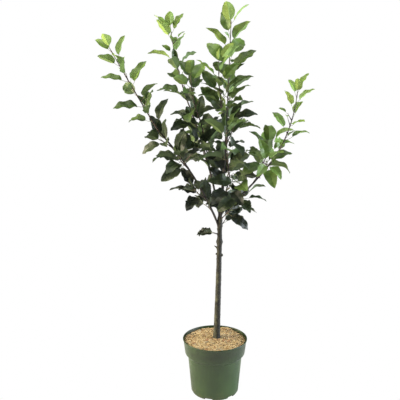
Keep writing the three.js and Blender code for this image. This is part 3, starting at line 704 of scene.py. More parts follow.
def leafTissue(age, side):
    finish, pattern = leafTintsByAgeAndShade[age], leafPattern
    rough = dict(top=finish["gloss"], under=pattern["underRough"], rib=pattern["ribRough"])[side]
    made, tree, shader = startMaterial("leaf_%s_%s" % (age, side), IOR=1.42, Roughness=rough)
    place = addNode(tree, "TexCoord").outputs["Object"]
    mottle = addNode(tree, "TexNoise",
                     {"Vector": place, "Scale": perMetre(pattern["mottle"]), "Detail": 2.0})
    share = addNode(tree, "MapRange",
                    {"Value": mottle, "From Min": 0.35, "From Max": 0.7, "To Max": pattern["share"]})
    shaded = darkened(finish[side], pattern["shade"])
    colour = addNode(tree, "Mix", {0: share, 6: finish[side], 7: shaded}, asColour)
    if side != "rib":
        colour = addNode(tree, "Mix", {0: veinShare(tree), 6: colour, 7: finish["rib"]}, asColour)
    setInput(shader, "Base Color", colour)
    cells = addNode(tree, "TexVoronoi",
                    {"Vector": place, "Scale": perMetre(pattern["cell"])}, {"feature": "SMOOTH_F1"})
    relief = pattern["topRelief"] if side == "top" else pattern["underRelief"]
    bump = addNode(tree, "Bump",
                   {"Height": cells, "Distance": relief * mm, "Strength": pattern["reliefShare"]})
    setInput(shader, "Normal", bump)
    return made


# Green wood of the growing tip and the leaf stalks: smooth and a little waxy, flushed with red.
greenWoods = dict(green_shoot=dict(plain="#5f6f3a", flush="#54402f"),
                  leaf_stalk=dict(plain="#66773f", flush="#5c4a34"))


def greenWood(name):
    finish = greenWoods[name]
    made, tree, shader = startMaterial(name, Roughness=0.5)
    place = addNode(tree, "TexCoord").outputs["Object"]
    tone = addNode(tree, "TexNoise", {"Vector": place, "Scale": perMetre(14), "Detail": 3.0})
    share = addNode(tree, "MapRange", {"Value": tone, "From Min": 0.38, "From Max": 0.66})
    colour = addNode(tree, "Mix", {0: share, 6: finish["plain"], 7: finish["flush"]}, asColour)
    setInput(shader, "Base Color", colour)
    return made


# links a finished mesh as a piece of the tree: it rides on the body, takes its finishes as materials
# and stands in for the nodes it details
def addPiece(name, mesh, materials, nodes, isSmooth=True):
    for material in materials:
        mesh.materials.append(material)
    mesh.polygons.foreach_set("use_smooth", [isSmooth] * len(mesh.polygons))
    piece = bpy.data.objects.new(name, mesh)
    bpy.context.scene.collection.objects.link(piece)
    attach(piece, "root")
    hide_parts(*nodes)


# a mesh of many small joined things, from their points in millimetres, faces and face materials
def joinedMesh(name, points, faces, faceMaterials, sharpFrom=None):
    mesh = bpy.data.meshes.new(name)
    mesh.from_pydata((np.asarray(points) * mm).tolist(), [], faces)
    mesh.polygons.foreach_set("material_index", faceMaterials)
    mesh.update()
    if sharpFrom:
        mesh.set_sharp_from_angle(angle=math.radians(sharpFrom))
    return mesh


def meshOf(bm, name):
    mesh = bpy.data.meshes.new(name)
    bm.to_mesh(mesh)
    bm.free()
    return mesh


# pot

pot = dict(height=217, rimRadius=122, rimHeight=5, collarRadius=120.5, collarFootRadius=113.5,
           collarFoot=160, bodyRadius=102.5, bodyTop=148, footRadius=90, footHeight=8,
           undersideRadius=84.5, wall=2, floor=3, drainHoles=6, drainHoleRadius=5, holeSides=24,
           drainHoleCircle=52, slots=6, slotTurn=13, slotWidth=30, slotHeight=9, slotDepth=16,
           slotCorner=1.5, groove=(9, 8, 5, 4), grooveDepth=0.9, steps=144, sharpFrom=38)
# the mulch's swells are (size across, which of the noise's layers, height)
fill = dict(compostTop=198, mulchEdge=208, mulchHeap=213, bedLift=0.3, bedGap=0.6, bedDrop=1.2,
            swells=((34, 3.7, 2.6), (13, 1.2, 1.1)), heap=dict(place=(46, 88), rise=8, reach=24))


def outerRadius(z):
    if z < pot["bodyTop"]:
        share = (z - pot["footHeight"]) / (pot["bodyTop"] - pot["footHeight"])
        return mix(pot["footRadius"], pot["bodyRadius"], share)
    share = (z - pot["collarFoot"]) / (pot["height"] - pot["collarFoot"])
    return mix(pot["collarFootRadius"], pot["collarRadius"], share)


# a profile whose corners are rounded: each point is (radius, height, corner radius), and a corner
# takes no more than a share of either side
def rounded(profile, steps=4, most=0.45):
    points = [Vector(profile[0][:2])]
    for before, here, after in zip(profile, profile[1:], profile[2:]):
        corner, fillet = Vector(here[:2]), here[2]
        back, ahead = Vector(before[:2]) - corner, Vector(after[:2]) - corner
        fillet = min(fillet, back.length * most, ahead.length * most)
        if not fillet:
            points.append(corner)
            continue
        start, end = corner + back.normalized() * fillet, corner + ahead.normalized() * fillet
        for i in range(steps + 1):
            t = i / steps
            points.append(start * (1 - t) ** 2 + corner * 2 * t * (1 - t) + end * t * t)
    return points + [Vector(profile[-1][:2])]


# spins a profile round the upright axis into a closed skin
def spun(points, steps):
    bm = bmesh.new()
    line = [bm.verts.new((p.x * mm, 0, p.y * mm)) for p in points]
    edges = [bm.edges.new(pair) for pair in zip(line, line[1:])]
    bmesh.ops.spin(bm, geom=line + edges, axis=(0, 0, 1), cent=(0, 0, 0), angle=2 * math.pi,
                   steps=steps, use_merge=True)
    bmesh.ops.remove_doubles(bm, verts=bm.verts, dist=0.01 * mm)
    bmesh.ops.recalc_face_normals(bm, faces=bm.faces)
    return bm


# one mesh of all the cutters: the drain holes in the floor and the slots at the foot
def potCutters():
    bm = bmesh.new()
    for i in range(pot["drainHoles"]):
        place = (Matrix.Rotation(2 * math.pi * i / pot["drainHoles"], 4, "Z")
                 @ Matrix.Translation((pot["drainHoleCircle"] * mm, 0, pot["floor"] / 2 * mm)))
        radius = pot["drainHoleRadius"] * mm
        bmesh.ops.create_cone(bm, segments=pot["holeSides"], radius1=radius, radius2=radius, cap_ends=True,
                              depth=3 * pot["floor"] * mm, matrix=place)
    for i in range(pot["slots"]):
        turn = math.radians(pot["slotTurn"]) + 2 * math.pi * i / pot["slots"]
        size = Matrix.Diagonal((pot["slotDepth"] * mm, pot["slotWidth"] * mm,
                                2 * pot["slotHeight"] * mm, 1))
        place = (Matrix.Rotation(turn, 4, "Z")
                 @ Matrix.Translation((pot["undersideRadius"] * mm, 0, 0)) @ size)
        made = bmesh.ops.create_cube(bm, size=1, matrix=place)
        edges = {e for v in made["verts"] for e in v.link_edges}
        bmesh.ops.bevel(bm, geom=[e for e in edges if max(v.co.z for v in e.verts) > 0],
                        offset=pot["slotCorner"] * mm, segments=3, profile=0.5, affect="EDGES",
                        material=-1)
    return meshOf(bm, "pot_cutters")


def makePot():
    wall, top, under, groove = pot["wall"], pot["height"], pot["undersideRadius"], pot["groove"]
    profile = [
        (0, 0, 0),
        (under - groove[0], 0, 0),
        (under - groove[1], pot["grooveDepth"], 0.4),
        (under - groove[2], pot["grooveDepth"], 0.4),
        (under - groove[3], 0, 0.4),
        (under, 0, 1.2),
        (pot["footRadius"], pot["footHeight"], 3),
        (pot["bodyRadius"], pot["bodyTop"], 2.5),
        (pot["collarFootRadius"], pot["collarFoot"], 3),
        (outerRadius(top - pot["rimHeight"] - 2), top - pot["rimHeight"] - 2, 1),
        (pot["rimRadius"] - 0.3, top - pot["rimHeight"], 0.8),
        (pot["rimRadius"], top - 1, 1.4),
        (pot["rimRadius"] - 1, top, 1),
        (pot["collarRadius"] - wall, top, 1.2),
        (outerRadius(pot["collarFoot"]) - wall, pot["collarFoot"], 2),
        (pot["bodyRadius"] - wall, pot["bodyTop"], 2),
        (pot["footRadius"] - wall, pot["footHeight"] + wall, 2),
        (under - wall, pot["floor"], 1.5),
        (0, pot["floor"], 0),
    ]
    mesh = meshOf(spun(rounded(profile), pot["steps"]), "pot_shell")
    shell = bpy.data.objects.new("pot_shell_whole", mesh)
    cutters = bpy.data.objects.new("pot_cutters", potCutters())
    for thing in (shell, cutters):
        bpy.context.scene.collection.objects.link(thing)
    cut = shell.modifiers.new("cut", "BOOLEAN")
    cut.operation, cut.solver, cut.object = "DIFFERENCE", "EXACT", cutters
    bpy.context.view_layer.update()
    graph = bpy.context.evaluated_depsgraph_get()
    result = bpy.data.meshes.new_from_object(shell.evaluated_get(graph))
    result.name = "pot_shell"
    for thing in (shell, cutters):
        bpy.data.objects.remove(thing)
    result.materials.clear()
    result.polygons.foreach_set("material_index", [0] * len(result.polygons))
    result.set_sharp_from_angle(angle=math.radians(pot["sharpFrom"]))
    addPiece("pot_shell", result, [mouldedPolypropylene()], ["pot"])


makePot()
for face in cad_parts["compost"].data.polygons:
    face.material_index = 0
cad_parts["compost"].data.materials.clear()
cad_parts["compost"].data.materials.append(grainFinish("peat_compost"))
print("pot made")


# wood chips on top of the compost

chips = dict(count=1700, length=(11, 31), width=(3.5, 9), thickness=(0.4, 1.1), tilt=8, bend=1.3,
             lift=(-0.1, 1.3), rings=14, steps=96, seed=41, lengthEase=1.7, widthEase=1.4, widest=0.7,
             bendFrom=12, jitter=(0.18, 0.22), underside=(0.94, 0.9), wallShare=0.42, trunkGap=13,
             trunkShare=0.3)
chipShares = dict(pale=0.34, tan=0.34, honey=0.2, rust=0.06, dark=0.01, grey=0.05)


# the bed is level at the wall and heaped towards the trunk, uneven on a hand's scale
def mulchHeight(x, y):
    edge = outerRadius(fill["mulchEdge"]) - pot["wall"]
    share = min(1, math.hypot(x, y) / edge)
    swell = sum(noise.noise(Vector((x / size, y / size, layer))) * height
                for size, layer, height in fill["swells"])
    heap = fill["heap"]
    piled = heap["rise"] * math.exp(-(math.dist((x, y), heap["place"]) / heap["reach"]) ** 2)
    return mix(fill["mulchHeap"], fill["mulchEdge"], share * share) - fill["bedDrop"] + swell + piled


def makeMulchBed():
    foot = fill["compostTop"] + fill["bedLift"]
    edge = outerRadius(fill["mulchEdge"]) - pot["wall"] - fill["bedGap"]
    line = [Vector((0, foot)), Vector((edge - 1, foot))]
    line += [Vector((edge * (1 - i / chips["rings"]), fill["mulchEdge"])) for i in range(chips["rings"])]
    bm = spun(line + [Vector((0, fill["mulchEdge"]))], chips["steps"])
    for v in bm.verts:
        if v.co.z > (foot + 1) * mm:
            x, y = v.co.x / mm, v.co.y / mm
            v.co.z = mulchHeight(x, y) * mm
    mesh = meshOf(bm, "mulch_bed")
    addPiece("mulch_bed", mesh, [woodChip("honey")], ["wood_chips"])


# each chip is a thin six-sided flake, bent along its length
flakeOutline = ((-1, -0.55), (-0.1, -1), (0.9, -0.7), (1, 0.5), (0.15, 1), (-0.85, 0.75))
flakeSides = len(flakeOutline)
flakeFaces = [list(range(flakeSides)), list(range(flakeSides, 2 * flakeSides))[::-1]]
flakeFaces += [[k, flakeSides + k, flakeSides + (k + 1) % flakeSides, (k + 1) % flakeSides]
               for k in range(flakeSides)]


def chipFlake(draw):
    length = mix(*chips["length"], draw.random() ** chips["lengthEase"])
    width = min(length * chips["widest"], mix(*chips["width"], draw.random() ** chips["widthEase"]))
    thickness = mix(*chips["thickness"], draw.random())
    bend = chips["bend"] * draw.uniform(-1, 1) * length / chips["bendFrom"]
    alongJitter, acrossJitter = chips["jitter"]
    outline = []
    for x, y in flakeOutline:
        px = length / 2 * (x + draw.uniform(-alongJitter, alongJitter))
        py = width / 2 * (y + draw.uniform(-acrossJitter, acrossJitter))
        outline.append((px, py, bend * (1 - (2 * px / length) ** 2)))
    narrow, slim = chips["underside"]
    top = [(x, y, z + thickness / 2) for x, y, z in outline]
    low = [(x * narrow, y * slim, z - thickness / 2) for x, y, z in outline]
    return np.array(top + low), length


def makeChips():
    draw = random.Random(chips["seed"])
    names = list(chipShares)
    points, faces, tints = [], [], []
    foot = limbSizes["trunk"]["foot"]
    inside = outerRadius(fill["mulchEdge"]) - pot["wall"] - 1
    for _ in range(chips["count"]):
        flake, length = chipFlake(draw)
        reach = (inside - length * chips["wallShare"]) * math.sqrt(draw.random())
        turn = draw.uniform(0, 2 * math.pi)
        x, y = reach * math.cos(turn), reach * math.sin(turn)
        if math.hypot(x - foot[0], y - foot[1]) < chips["trunkGap"] + length * chips["trunkShare"]:
            continue
        lift = mulchHeight(x, y) + draw.uniform(*chips["lift"])
        tilt = chips["tilt"]
        spin = (Matrix.Rotation(draw.uniform(0, 2 * math.pi), 3, "Z")
                @ Matrix.Rotation(math.radians(draw.gauss(0, tilt / 2)), 3, "X")
                @ Matrix.Rotation(math.radians(draw.gauss(0, tilt / 2)), 3, "Y"))
        placed = flake @ np.array(spin).T + (x, y, lift)
        start = len(points) * 2 * flakeSides
        points.append(placed)
        faces += [[start + k for k in face] for face in flakeFaces]
        tint = draw.choices(names, [chipShares[name] for name in names])[0]
        tints += [names.index(tint)] * len(flakeFaces)
    mesh = joinedMesh("mulch_chips", np.vstack(points), faces, tints)
    addPiece("mulch_chips", mesh, [woodChip(name) for name in names], ["wood_chips"],
             isSmooth=False)


makeMulchBed()
makeChips()
print("wood chips laid")


# trunk and boughs: skins with the bark's own relief

limbLook = dict(trunkSides=44, boughSides=28, trunkStep=1.4, boughStep=2.0, curveSteps=96,
                lump=0.55, lumpSize=30, ripple=0.3, rippleSize=7, grain=0.16, grainSize=1.7,
                shift=0.7, stretch=6, scarEvery=27, scarHeight=0.4, scarLength=1.6, scarWander=4,
                scarWanderSize=60, lobeShare=0.3, trunkBark=1.0, sharpFrom=62)
# the root flare's lobes are (share, how many, turn); a fork swells the bark under what it carries
rootLobes = ((1, 4, 0.6), (0.5, 2, 2.1))
fork = dict(perThickness=1.5, reach=3, until=3, swell=0.5, rise=0.5)
collar = dict(tipRise=0.4, tipReach=14, clear=1.2, rise=0.7, reach=6)
footHeight = limbSizes["trunk"]["foot"][2]
stubs = (
    dict(up=340, heading=352, lean=72, length=5, radius=(5.4, 4.2)),
    dict(up=344, heading=182, lean=74, length=4.5, radius=(4.2, 3.2)),
    dict(up=364, heading=186, lean=50, length=13, radius=(4.8, 1.4)),
    dict(up=452, heading=350, lean=66, length=2.5, radius=(3.6, 2.6)),
)
stubLook = dict(sides=24, cuts=9, lump=0.9, lumpSize=3.4, lipShare=0.3, lipHeight=0.4,
                hollowShare=0.2, hollowDepth=0.7, swell=0.45, swellReach=2.5, seed=29)
dormantBuds = (
    dict(up=89, heading=350, lean=34, length=2.4, radius=(3.0, 1.0)),
    dict(up=158, heading=5, lean=34, length=2.6, radius=(3.0, 1.0)),
    dict(up=229, heading=350, lean=34, length=2.6, radius=(3.0, 1.0)),
    dict(up=315, heading=190, lean=36, length=2.2, radius=(2.8, 1.0)),
    dict(up=122, heading=215, lean=36, length=1.8, radius=(2.6, 1.0)),
    dict(up=272, heading=70, lean=36, length=2.2, radius=(2.6, 1.0)),
)
carried = {**limbSizes, **shoots}


# where other limbs and shoots leave this one: share, turn round it and their thickness
def childrenOf(name):
    limb, found = limbs[name], []
    for childName, sizes in carried.items():
        if sizes.get("on") != name or sizes["at"] >= 1:
            continue
        along = alongAt(limb, sizes["at"])
        other = np.cross(along, limb["side"])
        towards = direction(sizes["lean"][0], sizes["heading"])
        thick = sizes["radius"][0] if childName in limbSizes else stemSizes["shortRadius"]
        found.append((sizes["at"], math.atan2(towards @ other, towards @ limb["side"]), thick))
    return found


# how far the bark stands out from the plain taper, in millimetres
def barkRelief(name, f, angle, radius, children):
    limb, look = limbs[name], limbLook
    along = f * limb["length"]
    x, y = radius * math.cos(angle), radius * math.sin(angle)
    shift, size = limb["heading"] * look["shift"], look["grainSize"]
    place = Vector((x, y, along))
    relief = look["lump"] * noise.noise(place / look["lumpSize"] + Vector((shift, 0, 0)))
    relief += look["ripple"] * noise.noise(place / look["rippleSize"] + Vector((0, shift, 0)))
    fine = Vector((x / size, y / size, along / size / look["stretch"] + shift))
    relief += look["grain"] * noise.noise(fine)
    for at, turn, thick in children:
        gap = (f - at) * limb["length"] / (fork["perThickness"] * thick + fork["reach"])
        if abs(gap) < fork["until"]:
            facing = max(0, math.cos(angle - turn))
            relief += (fork["swell"] * thick + fork["rise"]) * math.exp(-gap * gap) * facing * facing
    wander = look["scarWander"] * noise.noise(Vector((along / look["scarWanderSize"], shift, 0)))
    scar = (along + wander) % look["scarEvery"] - look["scarEvery"] / 2
    relief += look["scarHeight"] * math.exp(-(scar / look["scarLength"]) ** 2)
    if "flare" in limb:
        lobe = sum(share * math.cos(count * angle + turn) for share, count, turn in rootLobes)
        relief += look["lobeShare"] * limb["flare"] * lobe * math.exp(-along / limb["flareHeight"])
    return relief


# a limb widens into the one that carries it
def collarAt(limb, f):
    if "on" not in limb:
        return 0
    if limb["at"] >= 1:
        return collar["tipRise"] * math.exp(-f * limb["length"] / collar["tipReach"])
    hidden = radiusAt(limbs[limb["on"]], limb["at"]) * collar["clear"]
    past = max(0, f * limb["length"] - hidden)
    return collar["rise"] * limb["radius"][0] * math.exp(-past / collar["reach"])


# a short stub that swells into the trunk and has a lip round its end: a healed cut shows bare wood
# there, and a dormant bud does not
def addStub(bm, limb, stub, isCut):
    f = stub["up"] / limb["length"]
    along, (wide, slim) = direction(stub["lean"], stub["heading"]), stub["radius"]
    bark = radiusAt(limb, f) / math.sin(math.radians(stub["lean"]))
    reach = bark + stub["length"]
    root = Vector(pointOn(limb, f) * mm)
    place = (Matrix.Translation(root)
             @ Vector(along).to_track_quat("Z", "Y").to_matrix().to_4x4()
             @ Matrix.Translation((0, 0, reach / 2 * mm)))
    made = bmesh.ops.create_cone(bm, segments=stubLook["sides"], radius1=wide * mm, radius2=slim * mm,
                                 depth=reach * mm, cap_ends=True, matrix=place)
    faces = {face for v in made["verts"] for face in v.link_faces}
    edges = {edge for v in made["verts"] for edge in v.link_edges}
    lengthwise = [edge for edge in edges if edge.calc_length() > reach * mm / 2]
    bm.normal_update()
    end = max(faces, key=lambda face: Vector(along) @ face.normal)
    bmesh.ops.inset_region(bm, faces=[end], thickness=stubLook["lipShare"] * slim * mm,
                           depth=stubLook["lipHeight"] * mm)
    bmesh.ops.inset_region(bm, faces=[end], thickness=stubLook["hollowShare"] * slim * mm,
                           depth=-stubLook["hollowDepth"] * mm)
    end.material_index = int(isCut)
    cuts = bmesh.ops.subdivide_edges(bm, edges=lengthwise, cuts=stubLook["cuts"])
    for v in {v for v in cuts["geom_inner"] if isinstance(v, bmesh.types.BMVert)}:
        out = (v.co - root) @ Vector(along) / mm
        axis = root + Vector(along) * out * mm
        widened = 1 + stubLook["swell"] * math.exp(-max(0, out - bark) / stubLook["swellReach"])
        v.co = axis + (v.co - axis) * widened
        v.co += noise.noise_vector(v.co / mm / stubLook["lumpSize"]) * stubLook["lump"] * mm


def makeLimbSkin(name):
    isTrunk = name == "trunk"
    sides = limbLook["trunkSides"] if isTrunk else limbLook["boughSides"]
    step = limbLook["trunkStep"] if isTrunk else limbLook["boughStep"]
    limb = limbs[name]
    curve = makeLimb(limb["points"][0], limbSizes[name], limbLook["curveSteps"])
    children = childrenOf(name)
    bm = bmesh.new()
    bmesh.ops.create_grid(bm, x_segments=sides, y_segments=int(limb["length"] / step), size=0.5)
    barkMap = bm.loops.layers.uv.new("bark")
    girth = 2 * math.pi * limb["radius"][0] * mm
    for face in bm.faces:
        for loop in face.loops:
            x, y = loop.vert.co.x + 0.5, loop.vert.co.y + 0.5
            loop[barkMap].uv = (x * girth, y * limb["length"] * mm)
    for v in bm.verts:
        angle, f = (v.co.x + 0.5) * 2 * math.pi, min(1, max(0, v.co.y + 0.5))
        radius = radiusAt(limb, f) + collarAt(limb, f)
        radius += barkRelief(name, f, angle, radius, children) + limbLook["trunkBark"] * isTrunk
        along = alongAt(curve, f)
        other = np.cross(along, curve["side"])
        place = pointOn(curve, f) + (curve["side"] * math.cos(angle) + other * math.sin(angle)) * radius
        if isTrunk:
            place[2] = max(place[2], footHeight) if f > 0 else footHeight
        v.co = Vector(place * mm)
    bmesh.ops.remove_doubles(bm, verts=bm.verts, dist=0.002 * mm)
    bmesh.ops.holes_fill(bm, edges=[e for e in bm.edges if e.is_boundary], sides=0)
    bmesh.ops.recalc_face_normals(bm, faces=bm.faces)
    if isTrunk:
        for stub in stubs:
            addStub(bm, limb, stub, True)
        for bud in dormantBuds:
            addStub(bm, limb, bud, False)
    mesh = meshOf(bm, name + "_bark")
    mesh.set_sharp_from_angle(angle=math.radians(limbLook["sharpFrom"]))
    materials = [appleBark("trunk" if isTrunk else "bough")]
    if isTrunk:
        materials.append(grainFinish("pruned_end_grain"))
    addPiece(name + "_bark", mesh, materials, [name])


noise.seed_set(stubLook["seed"])      # without it noise_vector goes by the clock
for limbName in limbs:
    makeLimbSkin(limbName)
print("trunk and boughs made")


# leafy shoots: fine stems, stalks, buds and leaves, each kind joined

stemLook = dict(step=3, sides=10, nodeSwell=0.55, nodeLength=2.4, footSwell=1.4, footLength=5,
                greenFrom=0.86, curveSteps=64, fewest=6, tipRise=0.2, tipReach=30, clear=1.2, end=0.55)
stalkLook = dict(sides=6, steps=6, foot=1.3, waist=0.72, end=0.62, sag=0.05, footEase=4, inBlade=3,
                 underBlade=0.4, last=0.7)
budLook = dict(length=5, radius=1.35, sides=6, places=(0, 0.2, 0.45, 0.75, 1),
               widths=(0.7, 1, 0.95, 0.5, 0.12), sunk=0.8, rise=1.5, lean=0.4, tipSize=1.1, spurSize=0.7)


# points, faces, and where each face's corners lie on the bark, of a closed tube along a path
def tube(path, radii, sides, reference):
    path, radii = np.asarray(path), np.asarray(radii)
    ahead = np.gradient(path, axis=0)
    ahead /= np.linalg.norm(ahead, axis=1)[:, None]
    side = reference - ahead * (ahead @ reference)[:, None]
    side /= np.linalg.norm(side, axis=1)[:, None]
    other = np.cross(ahead, side)
    angles = (2 * math.pi * np.arange(sides) / sides)[None, :, None]
    ring = side[:, None, :] * np.cos(angles) + other[:, None, :] * np.sin(angles)
    points = (path[:, None, :] + ring * radii[:, None, None]).reshape(-1, 3)
    gone = np.concatenate([[0], np.cumsum(np.linalg.norm(np.diff(path, axis=0), axis=1))]) * mm
    width = 2 * math.pi * radii.max() * mm / sides
    faces, corners = [], []
    for i in range(len(path) - 1):
        for k in range(sides):
            n = (k + 1) % sides
            faces.append([i * sides + k, i * sides + n, (i + 1) * sides + n, (i + 1) * sides + k])
            corners += [(k * width, gone[i]), ((k + 1) * width, gone[i]),
                        ((k + 1) * width, gone[i + 1]), (k * width, gone[i + 1])]
    last = (len(path) - 1) * sides
    faces.append(list(range(sides))[::-1])
    faces.append([last + k for k in range(sides)])
    corners += [(k * width, 0) for k in range(sides)] + [(k * width, gone[-1]) for k in range(sides)]
    return points, faces, corners


# gathers small things into one mesh
class Gathered:
    def __init__(self):
        self.points, self.faces, self.materials, self.corners, self.count = [], [], [], [], 0

    def add(self, points, faces, materials, corners=()):
        self.points.append(points)
        self.faces += [[self.count + k for k in face] for face in faces]
        self.materials += materials
        self.corners += corners
        self.count += len(points)

    def finish(self, name, materials, slot, mapName=None, sharpFrom=None):
        mesh = joinedMesh(name, np.vstack(self.points), self.faces, self.materials, sharpFrom)
        if mapName:
            layer = mesh.uv_layers.new(name=mapName)
            layer.data.foreach_set("uv", np.array(self.corners, np.float32).ravel())
        addPiece(name, mesh, materials, list(shoots))


def addStem(gathered, stem, nodes, parent):
    look = stemLook
    curve = makeLimb(stem["points"][0], stem, look["curveSteps"])
    count = max(look["fewest"], int(stem["length"] / look["step"]))
    shares = np.arange(count + 1) / count
    path = np.array([pointOn(curve, f) for f in shares])
    radii = []
    for f in shares:
        gone = f * stem["length"]
        gaps = [((f - node) * stem["length"]) / look["nodeLength"] for node in nodes]
        radius = radiusAt(stem, f) + sum(look["nodeSwell"] * math.exp(-gap ** 2) for gap in gaps)
        if stem["at"] >= 1:
            wider = parent["radius"][1] + look["tipRise"] - stem["radius"][0]
            radius += wider * math.exp(-gone / look["tipReach"])
        else:
            past = max(0, gone - radiusAt(parent, stem["at"]) * look["clear"])
            radius += look["footSwell"] * math.exp(-past / look["footLength"])
        radii.append(radius * (1 if f < 1 else look["end"]))
    points, faces, corners = tube(path, radii, look["sides"], stem["side"])
    isGreen = [int(i // look["sides"] / count > look["greenFrom"]) for i in range(len(faces))]
    gathered.add(points, faces, isGreen, corners)


def addStalk(gathered, leaf):
    start, end = leaf["root"], leaf["foot"]
    length = np.linalg.norm(end - start)
    shares = np.arange(stalkLook["steps"] + 1) / stalkLook["steps"]
    path = start + (end - start) * shares[:, None]
    path[:, 2] -= stalkLook["sag"] * length * np.sin(math.pi * shares)
    held = end + leaf["towards"] * stalkLook["inBlade"] - leaf["face"] * stalkLook["underBlade"]
    path = np.vstack([path, held])
    radii = mix(stalkLook["foot"], stalkLook["waist"], np.minimum(1, shares * stalkLook["footEase"]))
    radii = mix(radii, stalkLook["end"], shares ** 2) * math.sqrt(leaf["size"])
    radii = np.append(radii, radii[-1] * stalkLook["last"])
    points, faces, _ = tube(path, radii, stalkLook["sides"], leaf["across"])
    gathered.add(points, faces, [0] * len(faces))


def addBud(gathered, place, towards, reference, scale):
    shares, widths = np.array(budLook["places"]), np.array(budLook["widths"])
    path = place + towards * (shares * budLook["length"] * scale)[:, None]
    points, faces, _ = tube(path, widths * budLook["radius"] * scale, budLook["sides"], reference)
    gathered.add(points, faces, [0] * len(faces))


# One leaf is a thin closed skin of rows from foot to tip. A row has two edge points, and five
# points above and below: the midrib, its two borders and one halfway out on each side. A tooth
# stands between each two rows on both edges.
leafLook = dict(rows=22, smallRows=12, smallBelow=56, halfway=0.52, rib=0.8, groove=0.35, ribDrop=0.7,
                toothPlace=0.66, thickness=0.5, quilt=0.45, curl=1.35, point=0.44, widest=1.06,
                ribTaper=0.6, ribMost=0.45, ribLeast=0.1, ribOnMap=0.05, footEase=7, tipEase=6,
                buckleLength=0.6, thinnest=0.5, toothSizes=(0.4, 1.3), toothLean=0.5, usual=90)
rowPoints = 12
aboveColumns, belowColumns, ribColumns = (0, 1, 2, 3, 4, 5, 6), (0, 7, 8, 9, 10, 11, 6), (2, 3)
slowWaves = ((0.6, 1.7), (0.4, 4.1))      # each is a share and how many waves a blade takes
# An old blade is wavier, more coarsely toothed and less even than a young one. Sizes in
# millimetres on a blade of the usual length.
leafHabits = dict(
    old=dict(wave=(2.4, 5.0), waves=(1.8, 3.6), tooth=2.0, uneven=0.1, buckle=2.0),
    dark=dict(wave=(1.8, 4.2), waves=(1.7, 3.4), tooth=1.7, uneven=0.08, buckle=1.6),
    grown=dict(wave=(1.5, 3.6), waves=(1.6, 3.3), tooth=1.7, uneven=0.065, buckle=1.6),
    fresh=dict(wave=(1.3, 3.2), waves=(1.5, 3.2), tooth=1.6, uneven=0.055, buckle=1.6),
    young=dict(wave=(1.0, 2.6), waves=(1.4, 2.8), tooth=1.3, uneven=0.045, buckle=1.3),
)


def leafFaces(rows):
    full = rows - 1
    teeth = full * rowPoints
    base, tip = teeth + 2 * (full - 1), teeth + 2 * (full - 1) + 1
    faces, materials = [], []
    for columns, flip, plain in ((aboveColumns, False, 0), (belowColumns, True, 1)):
        for i in range(full - 1):
            a, b = i * rowPoints, (i + 1) * rowPoints
            for k in range(6):
                face = [a + columns[k], a + columns[k + 1], b + columns[k + 1], b + columns[k]]
                if k == 0:
                    face.append(teeth + 2 * i)
                if k == 5:
                    face.insert(2, teeth + 2 * i + 1)
                faces.append(face[::-1] if flip else face)
                materials.append(2 if k in ribColumns else plain)
        for k in range(6):
            first = [base, columns[k + 1], columns[k]]
            last = [(full - 1) * rowPoints + columns[k], (full - 1) * rowPoints + columns[k + 1], tip]
            faces += [first[::-1], last[::-1]] if flip else [first, last]
            materials += [2 if k in ribColumns else plain] * 2
    return faces, materials


# where each face's corners lie on a blade: the share across, from 1 to -1, and the share along
def bladeCorners(rows, faces):
    half = (1, leafLook["halfway"], leafLook["ribOnMap"])
    across = half + (0,) + tuple(-share for share in half[::-1])
    across = across + across[1:6]
    places = [(share, (i + 1) / rows) for i in range(rows - 1) for share in across]
    places += [(way, (i + 1 + leafLook["toothPlace"]) / rows) for i in range(rows - 2)
               for way in (1, -1)]
    places += [(0, 0), (0, 1)]
    return [places[k] for face in faces for k in face]


# two slow waves along the blade, at most 1 either way
def unevenness(s, draw):
    return sum(share * np.sin(2 * math.pi * (count * s + draw.uniform(0, 1)))
               for share, count in slowWaves)


